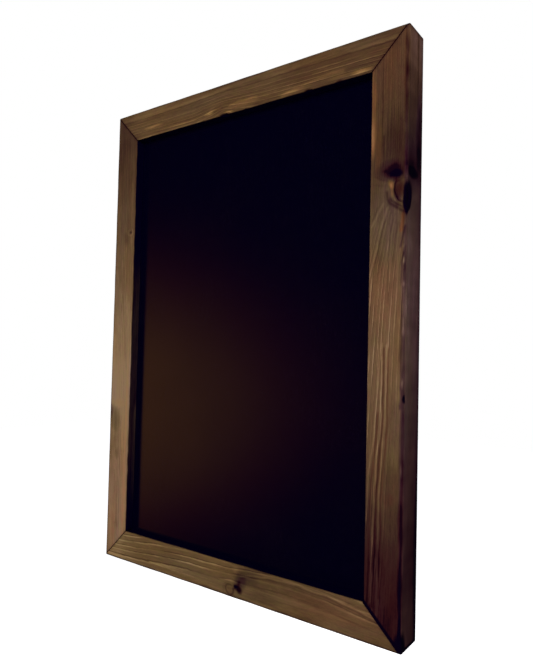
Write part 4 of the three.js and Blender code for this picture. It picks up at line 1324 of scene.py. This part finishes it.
def member_stations(length):
    """Places along the member, close together at the mitres and even between them."""
    ends = np.array(MITRE_STATIONS)
    edge = 2 * MITRE_STATIONS[-1] - MITRE_STATIONS[-2]
    count = round((length - 2 * edge) / LENGTH_STEP)
    return np.concatenate((ends, np.linspace(edge, length - edge, count), length - ends[::-1]))


def member_place(name, length):
    """Every mesh point's place (s, u, v), station by station, set in to its relief."""
    outline, out = section_outline()
    stations = member_stations(length)[:, None]
    u, v = outline.T
    pull = u + GLUE_GAP
    s = stations + pull * np.clip(1 - stations / MITRE_TURN, 0, 1)
    s -= pull * np.clip(1 - (length - stations) / MITRE_TURN, 0, 1)
    place = np.stack(np.broadcast_arrays(s, u, v), 2).reshape(-1, 3)
    outward = np.tile(np.column_stack((np.zeros(len(out)), out)), (len(stations), 1))
    return place - outward * relief(name, place, length)[:, None], len(stations), len(outline)


def tube_faces(rings, around, flip):
    """Quads between the rings of points, and a cap on each end."""
    ring, side = np.meshgrid(np.arange(rings - 1), np.arange(around), indexing="ij")
    onward = (side + 1) % around
    quads = np.stack((ring * around + side, ring * around + onward,
                      (ring + 1) * around + onward, (ring + 1) * around + side), 2)
    faces = quads.reshape(-1, 4).tolist()
    faces.append(list(range(around))[::-1])
    faces.append(list(range((rings - 1) * around, rings * around)))
    return turned_over(faces) if flip else faces


def turned_over(faces):
    return [face[::-1] for face in faces]


def put_in_scene(made):
    bpy.context.scene.collection.objects.link(made)


def new_object(name, points, faces, finish=None):
    """A piece from points in metres and their faces."""
    mesh = bpy.data.meshes.new(name)
    mesh.from_pydata(points, [], faces)
    if finish:
        mesh.materials.append(FINISHES[finish])
    made = bpy.data.objects.new(name, mesh)
    put_in_scene(made)
    return made


def finish_edges(made):
    made.data.shade_smooth()
    made.data.set_sharp_from_angle(angle=CREASE)


def cut_away(made, cutters):
    """Cuts closed shapes, each given as points and faces, out of a piece."""
    tools = [new_object("cutter", points, faces) for points, faces in cutters]
    for tool in tools:
        cut = made.modifiers.new("cut", "BOOLEAN")
        cut.operation = "DIFFERENCE"
        cut.solver = "MANIFOLD"
        cut.object = tool
    name = made.data.name
    seen = made.evaluated_get(bpy.context.evaluated_depsgraph_get())
    made.data = bpy.data.meshes.new_from_object(seen)
    made.data.name = name
    made.modifiers.clear()
    for tool in tools:
        bpy.data.objects.remove(tool)


BOX_FACES = [(0, 1, 3, 2), (4, 6, 7, 5), (0, 4, 5, 1), (2, 3, 7, 6), (0, 2, 6, 4), (1, 5, 7, 3)]


def box_shape(low, high):
    """A box between two corners, with its faces pointing out."""
    points = np.array([(x, y, z) for x in (low[0], high[0]) for y in (low[1], high[1])
                       for z in (low[2], high[2])], float)
    return points, BOX_FACES


def write_grain(made, name, length, origin, axes):
    """Gives each mesh point its place in the member and the fields that the finish reads."""
    mesh = made.data
    points = np.zeros(len(mesh.vertices) * 3)
    mesh.vertices.foreach_get("co", points)
    place = (points.reshape(-1, 3) / MM - origin) @ axes.T
    fields = {
        "growth": growth_rings(name, place),
        "knot_edge": knot_edges(name, place),
        **stain_fields(name, place, length),
    }
    for label, values in fields.items():
        layer = mesh.attributes.new(label, "FLOAT", "POINT")
        layer.data.foreach_set("value", values.astype(np.float32))
    pattern_place = place + np.array(GROWTH[name]["sawn_from"])
    layer = mesh.attributes.new("place", "FLOAT_VECTOR", "POINT")
    layer.data.foreach_set("vector", pattern_place.astype(np.float32).ravel())


def nail_slits(length):
    """The slits that the wedge nails' legs lie in, at both ends of the member."""
    slits = []
    for inset in NAIL_INSETS:
        for middle in (inset, length - inset):
            low = (middle - SLIT_HALF, inset - NAIL_LEG - SLIT_HALF, FRAME_DEPTH - NAIL_DEPTH)
            high = (middle + SLIT_HALF, inset + SLIT_HALF, FRAME_DEPTH + CUT_OVERRUN)
            slits.append(box_shape(low, high))
    return slits


def timber(name):
    """One mitred member, with the nails' slits cut in its back."""
    corner, along, inward = MEMBER_FRAMES[name]
    length = RIGHT - LEFT if along[0] else TOP - BOTTOM
    origin = np.array(corner)
    axes = np.array((along, inward, BACKWARD), float)
    left_handed = np.linalg.det(axes) < 0

    def in_room(places, faces):
        return (origin + places @ axes) * MM, turned_over(faces) if left_handed else faces

    place, rings, around = member_place(name, length)
    points, faces = in_room(place, tube_faces(rings, around, flip=False))
    made = new_object(f"{name}_timber", points, faces, "stained_pine")
    cut_away(made, [in_room(*slit) for slit in nail_slits(length)])
    finish_edges(made)
    write_grain(made, name, length, origin, axes)
    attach(made, "frame")
    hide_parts(name)


for member in MEMBER_FRAMES:
    timber(member)


# Hardware on the back. Its shapes are in millimetres round a point of their own.

STILE_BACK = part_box("left_stile")[1].y / MM
STRAP_FACE = SEAT_GAP + 2 * STRIP_THICKNESS


def shape_piece(name, shape, place, finish, node, body="frame"):
    """Puts a shape, given round its own point, at its place and lets it stand for its node."""
    points, faces = shape
    made = new_object(name, (np.array(points) + np.array(place)) * MM, faces, finish)
    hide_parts(node)
    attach(made, body)
    return made


def sweep(sections, flip=False):
    """Joins equal closed sections, in order, into one closed shape."""
    return np.concatenate(sections), tube_faces(len(sections), len(sections[0]), flip)


def turned(profile, sides):
    """Turns a profile of (radius, height) about the Y axis; its ends are closed flat."""
    angles = np.linspace(0, 2 * math.pi, sides, endpoint=False)
    circle = np.stack((np.cos(angles), np.zeros(sides), np.sin(angles)), 1)
    return sweep([circle * radius + (0, height, 0) for radius, height in profile], flip=True)


def left_normals(path):
    """Unit vectors to the left of a flat path, one for each of its points."""
    onward = np.gradient(path, axis=0)
    onward /= np.linalg.norm(onward, axis=1)[:, None]
    return np.stack((-onward[:, 1], onward[:, 0]), 1)


def ring_path():
    """Half the bar, the first corner, the bow, the other corner and the bar's other half."""
    bar = RING_HALF - RING_CORNER
    path = [(WIRE_SPLIT / 2, 0.0)]
    path += line_points(path[-1], (bar, 0), WIRE_STEP)
    path += arc_points(bar, -RING_CORNER, RING_CORNER, 90, 0, CORNER_STEPS)
    path += line_points(path[-1], (RING_HALF, -RING_SIDE), WIRE_STEP)
    path += arc_points(0, -RING_SIDE, RING_HALF, 0, -180, BOW_STEPS)
    path += line_points(path[-1], (-RING_HALF, -RING_CORNER), WIRE_STEP)
    path += arc_points(-bar, -RING_CORNER, RING_CORNER, 180, 90, CORNER_STEPS)
    path += line_points(path[-1], (-WIRE_SPLIT / 2, 0), WIRE_STEP)
    return np.array(path)


def ring_shape(lean):
    """The D-ring of round wire, hanging from its axis and leaning out of the strap's way."""
    path = ring_path()
    radii = np.full(len(path), WIRE_RADIUS)
    radii[[0, -1]] -= WIRE_END
    angles = np.linspace(0, 2 * math.pi, WIRE_SIDES, endpoint=False)
    sections = []
    for (x, z), (side_x, side_z), radius in zip(path, left_normals(path), radii):
        reach = radius * np.cos(angles)
        sections.append(np.stack((x + side_x * reach, radius * np.sin(angles),
                                  z + side_z * reach), 1))
    points, faces = sweep(sections)
    turn = np.array(Matrix.Rotation(lean, 3, "X"))
    return points @ turn.T, faces


def strip_section(half_width, half_thick):
    """Section of the strip with rounded edges, as points (x, through its thickness)."""
    round_x, round_t = half_width - STRIP_EDGE, half_thick - STRIP_EDGE
    points = []
    for centre_x, centre_t, start in ((round_x, round_t, 0), (-round_x, round_t, 90),
                                      (-round_x, -round_t, 180), (round_x, -round_t, 270)):
        first = start - 90 / (EDGE_POINTS - 1)
        points += arc_points(centre_x, centre_t, STRIP_EDGE, first, start + 90, EDGE_POINTS)
    return np.array(points)


def strap_path():
    """Up the back layer, round the knuckle and down the front layer, as (y, z) points."""
    half = STRIP_THICKNESS / 2
    back_y, front_y = SEAT_GAP + half, SEAT_GAP + 3 * half
    knuckle_y = SEAT_GAP + STRIP_THICKNESS + KNUCKLE_HOLE
    end, round_end = -STRAP_LENGTH, -STRAP_LENGTH + STRAP_WIDTH / 2
    path = line_points((back_y, end), (back_y, round_end), STRAP_END_STEP)
    path += line_points(path[-1], (back_y, 0), STRAP_STEP)
    path += arc_points(knuckle_y, 0, KNUCKLE_HOLE + half, 180, -STRAP_SHOULDER, KNUCKLE_STEPS)
    y, z = path[-1]
    drop = (y - front_y) / math.tan(math.radians(STRAP_SHOULDER))
    path += line_points((y, z), (front_y, z - drop), SHOULDER_STEP)
    path += line_points(path[-1], (front_y, round_end), STRAP_STEP)
    path += line_points(path[-1], (front_y, end), STRAP_END_STEP)
    return np.array(path)


def strap_shape():
    """Steel strip folded in two round the ring, with a round lower end."""
    path = strap_path()
    sections = []
    for (y, z), (side_y, side_z) in zip(path, left_normals(path)):
        end = np.clip((z + STRAP_LENGTH) / (STRAP_WIDTH / 2), NARROWEST_END, 1)
        half_width = STRAP_WIDTH / 2 * math.sqrt(1 - (1 - end) ** 2)
        x, across = strip_section(half_width, (STRIP_THICKNESS - STRIP_SQUEEZE) / 2).T
        sections.append(np.stack((x, y + side_y * across, z + side_z * across), 1))
    return sweep(sections)


def screw_shape():
    """A pan head screw with its head's underside at height 0."""
    dome = HEAD_HEIGHT - HEAD_RIM
    profile = [(SCREW_POINT, -SCREW_LENGTH), (SCREW_RADIUS, -SCREW_LENGTH + SCREW_TIP),
               (SCREW_RADIUS, 0), (HEAD_RADIUS - HEAD_EDGE, 0), (HEAD_RADIUS, HEAD_EDGE)]
    for angle in np.radians(np.linspace(0, DOME_END, DOME_STEPS)):
        profile.append((HEAD_RADIUS * math.cos(angle), HEAD_RIM + dome * math.sin(angle)))
    return turned(profile, SCREW_SIDES)


def recess_shapes():
    """The cross recess as two tapering wedges."""
    wedges = []
    for crosswise in (False, True):
        points, faces = box_shape((-1, HEAD_HEIGHT - RECESS_DEPTH, -1),
                                  (1, HEAD_HEIGHT + CUT_OVERRUN, 1))
        above = (points[:, 1] > HEAD_HEIGHT)[:, None]
        length, width = np.where(above, RECESS_TOP_SHARES, RECESS_FLOOR_SHARES).T
        points[:, 0] *= RECESS_HALF * length
        points[:, 2] *= RECESS_WIDTH / 2 * width
        if crosswise:
            points = points[:, [2, 1, 0]] * (1, 1, -1)
        wedges.append((points, faces))
    return wedges


def bumper_shape():
    """A rubber bumper standing on the stile, with its narrower end on the wall."""
    face = BUMPER_RADIUS - BUMPER_TAPER
    shoulder = BUMPER_HEIGHT - BUMPER_ROUNDING
    profile = [(PIN_HOLE, 0), (BUMPER_RADIUS - BEVEL_ACROSS, 0), (BUMPER_RADIUS, BEVEL_HEIGHT),
               (BUMPER_RADIUS, WALL_BEGINS)]
    for share in np.linspace(0.1, 1, BUMPER_WALL_STEPS):
        profile.append((BUMPER_RADIUS - BUMPER_TAPER * share,
                        WALL_BEGINS + (shoulder - WALL_BEGINS) * share))
    profile += arc_points(face - BUMPER_ROUNDING, shoulder, BUMPER_ROUNDING, 0, 90,
                          ROUNDING_STEPS)
    profile += [(DIMPLE_RADIUS, BUMPER_HEIGHT),
                (DIMPLE_FLOOR_RADIUS, BUMPER_HEIGHT - DIMPLE_EDGE_DEPTH),
                (PIN_HOLE, BUMPER_HEIGHT - DIMPLE_DEPTH)]
    return turned(profile, BUMPER_SIDES)


def hanger(side, joint):
    """A strap with its drilled holes and two screws, and the ring that swings in it."""
    x, axis_y, axis_z = (value / MM for value in joint["pos_m"])
    crossing = RING_SIDE + math.sqrt(RING_HALF ** 2 - (STRAP_WIDTH / 2) ** 2)
    lean = math.asin((STILE_BACK + STRAP_FACE + SEAT_GAP + WIRE_RADIUS - axis_y) / crossing)
    ring = shape_piece(f"{side}_ring", ring_shape(lean), (x, axis_y, axis_z), "zinc_steel",
                       f"{side}_hanger_ring", joint["child"])
    strap_place = np.array((x, STILE_BACK, axis_z))
    strap = shape_piece(f"{side}_strap", strap_shape(), strap_place, "zinc_steel",
                        f"{side}_hanger_strap")
    drill_radius = SCREW_RADIUS + DRILL_CLEARANCE
    holes = []
    for number, drop in enumerate(SCREW_DROPS, 1):
        place = strap_place + (0, STRAP_FACE + SEAT_GAP / 3, -drop)
        screw = shape_piece(f"{side}_screw_{number}", screw_shape(), place, "zinc_steel",
                            f"{side}_hanger_screw_{number}")
        cut_away(screw, [((points + place) * MM, faces) for points, faces in recess_shapes()])
        finish_edges(screw)
        drill, faces = turned([(drill_radius, -DRILL_REACH), (drill_radius, DRILL_REACH)],
                              DRILL_SIDES)
        holes.append(((drill + place) * MM, faces))
    cut_away(strap, holes)
    finish_edges(strap)
    finish_edges(ring)


def bumper(side):
    low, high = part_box(f"{side}_bumper")
    place = ((low.x + high.x) / 2 / MM, low.y / MM, (low.z + high.z) / 2 / MM)
    made = shape_piece(f"{side}_foot", bumper_shape(), place, "rubber", f"{side}_bumper")
    finish_edges(made)


for joint in frame["joints"]:
    hanger(joint["name"].split("_")[0], joint)
for side in ("left", "right"):
    bumper(side)


# The board, its core, the points and the wedge nails keep their shape and get their finish

for subpart in frame["record"]["subparts"]:
    node = frame["nodes"][subpart["node"]]
    node.data.materials.clear()
    node.data.materials.append(FINISHES[subpart["material_slot"]])


# Camera, floor and light

MIDDLE = Vector((0.0, 0.0, (TOP + BOTTOM) / 2 * MM))


def make_camera():
    data = bpy.data.cameras.new("camera")
    data.sensor_width = SENSOR
    data.lens = FOCAL_PIXELS * SENSOR / LONG_SIDE_PIXELS
    camera = bpy.data.objects.new("camera", data)
    put_in_scene(camera)
    ahead = Vector((
        -math.sin(CAMERA_YAW) * math.cos(CAMERA_PITCH),
        math.cos(CAMERA_YAW) * math.cos(CAMERA_PITCH),
        math.sin(CAMERA_PITCH),
    ))
    level = ahead.cross(Vector((0, 0, 1))).normalized()
    upright = level.cross(ahead)
    right = level * math.cos(CAMERA_ROLL) + upright * math.sin(CAMERA_ROLL)
    up = upright * math.cos(CAMERA_ROLL) - level * math.sin(CAMERA_ROLL)
    turn = Matrix((right, up, -ahead)).transposed().to_4x4()
    camera.matrix_world = Matrix.Translation(CAMERA_PLACE) @ turn
    bpy.context.scene.camera = camera


def make_lamp(name, place, size, watts, colour):
    """A square lamp aimed at the middle of the board, which isn't seen itself."""
    data = bpy.data.lights.new(name, "AREA")
    data.size = size
    data.energy = watts
    data.color = colour
    lamp = bpy.data.objects.new(name, data)
    lamp.location = place
    lamp.rotation_euler = (MIDDLE - place).to_track_quat("-Z", "Y").to_euler()
    lamp.visible_camera = False
    lamp.visible_glossy = False
    put_in_scene(lamp)


def warm_glow(tree, way):
    """The warm glow, red wider than green, by the way that shiny things look."""
    offset = vector_calc(tree, "SUBTRACT", way, GLOW_WAY)
    near = scaled(tree, offset, (1 / GLOW_REACH, 1 / GLOW_REACH, 1 / GLOW_HEIGHT))
    far = times(tree, dot(tree, near, near), 0.5)
    red, green = (calc(tree, "EXPONENT", times(tree, calc(tree, "POWER", far, power), rate))
                  for power, rate in (RED_FADE, GREEN_FADE))
    return add(tree, "ShaderNodeCombineColor", inputs={
        "Red": times(tree, red, GLOW_RED),
        "Green": times(tree, green, GLOW_GREEN),
        "Blue": times(tree, green, GLOW_BLUE),
    }).outputs[0]


def shiny_room(tree, way):
    """The room's colour to shiny things, by the way that they look."""
    backdrop = spread(tree, dot(tree, way, BACKDROP_WAY), *BACKDROP_COSINES)
    corner = spread(tree, dot(tree, way, BACK_RIGHT_WAY), *BACK_RIGHT_COSINES, FRONT_ROOM,
                    BACK_RIGHT_ROOM)
    return mix_colour(tree, 1.0, calc(tree, "MAXIMUM", backdrop, corner),
                      warm_glow(tree, way), "ADD")


def pale_floor(tree):
    """Nearly white under the lamps, and lifted to white for the camera where no shadow falls."""
    rays = add(tree, "ShaderNodeLightPath").outputs
    shiny = calc(tree, "MAXIMUM", rays["Is Glossy Ray"], rays["Is Transmission Ray"])
    cloud = noise(tree, object_place(tree), scale=3.0, detail=2.0)
    colour = mix_colour(tree, cloud, srgb(238, 238, 238), srgb(244, 244, 243))
    matt = principled(tree, {"Base Color": colour, "Roughness": 0.9, "Specular IOR Level": 0.1})
    black = add(tree, "ShaderNodeBsdfDiffuse", inputs={"Color": BLACK}).outputs[0]
    ground = add(tree, "ShaderNodeMixShader")
    for socket, value in zip(ground.inputs, (shiny, matt, black)):
        feed(tree, socket, value)
    floor_place = add(tree, "ShaderNodeNewGeometry").outputs["Position"]
    way = vector_calc(tree, "NORMALIZE", vector_calc(tree, "SUBTRACT", floor_place, MIDDLE))
    lift = mix_colour(tree, rays["Is Camera Ray"], BLACK, (*[FLOOR_LIFT] * 3, 1))
    lift = mix_colour(tree, shiny, lift, shiny_room(tree, way))
    glow = add(tree, "ShaderNodeEmission", inputs={"Color": lift, "Strength": 1.0}).outputs[0]
    both = add(tree, "ShaderNodeAddShader")
    feed(tree, both.inputs[0], ground.outputs[0])
    feed(tree, both.inputs[1], glow)
    return both.outputs[0]


def make_floor():
    half = FLOOR_SIZE / 2
    corners = [(-half, -half, 0), (half, -half, 0), (half, half, 0), (-half, half, 0)]
    mesh = bpy.data.meshes.new("floor")
    mesh.from_pydata(corners, [], [(0, 1, 2, 3)])
    mesh.materials.append(material("pale_floor", pale_floor))
    floor = bpy.data.objects.new("floor", mesh)
    floor.location.z = -FLOOR_BELOW_ORIGIN
    put_in_scene(floor)


def make_world():
    """White to the camera, even light for matt things, and the shiny room for shiny ones."""
    world = bpy.data.worlds.new("room")
    bpy.context.scene.world = world
    world.use_nodes = True
    tree = world.node_tree
    tree.nodes.clear()
    rays = add(tree, "ShaderNodeLightPath").outputs
    shiny = calc(tree, "MAXIMUM", rays["Is Glossy Ray"], rays["Is Transmission Ray"])
    even = tuple(AMBIENT * part for part in AMBIENT_COLOUR) + (1.0,)
    way = add(tree, "ShaderNodeTexCoord").outputs["Generated"]
    colour = mix_colour(tree, shiny, even, shiny_room(tree, way))
    colour = mix_colour(tree, rays["Is Camera Ray"], colour, WHITE)
    sky = add(tree, "ShaderNodeBackground", inputs={"Color": colour, "Strength": 1.0})
    leave = tree.nodes.new("ShaderNodeOutputWorld")
    tree.links.new(sky.outputs[0], leave.inputs["Surface"])


make_camera()
make_floor()
make_world()
make_lamp("key", KEY_PLACE, KEY_SIZE, KEY_WATTS, KEY_COLOUR)
make_lamp("back", BACK_LAMP_PLACE, BACK_LAMP_SIZE, BACK_LAMP_WATTS, BACK_LAMP_COLOUR)
bpy.context.scene.view_settings.view_transform = "Standard"
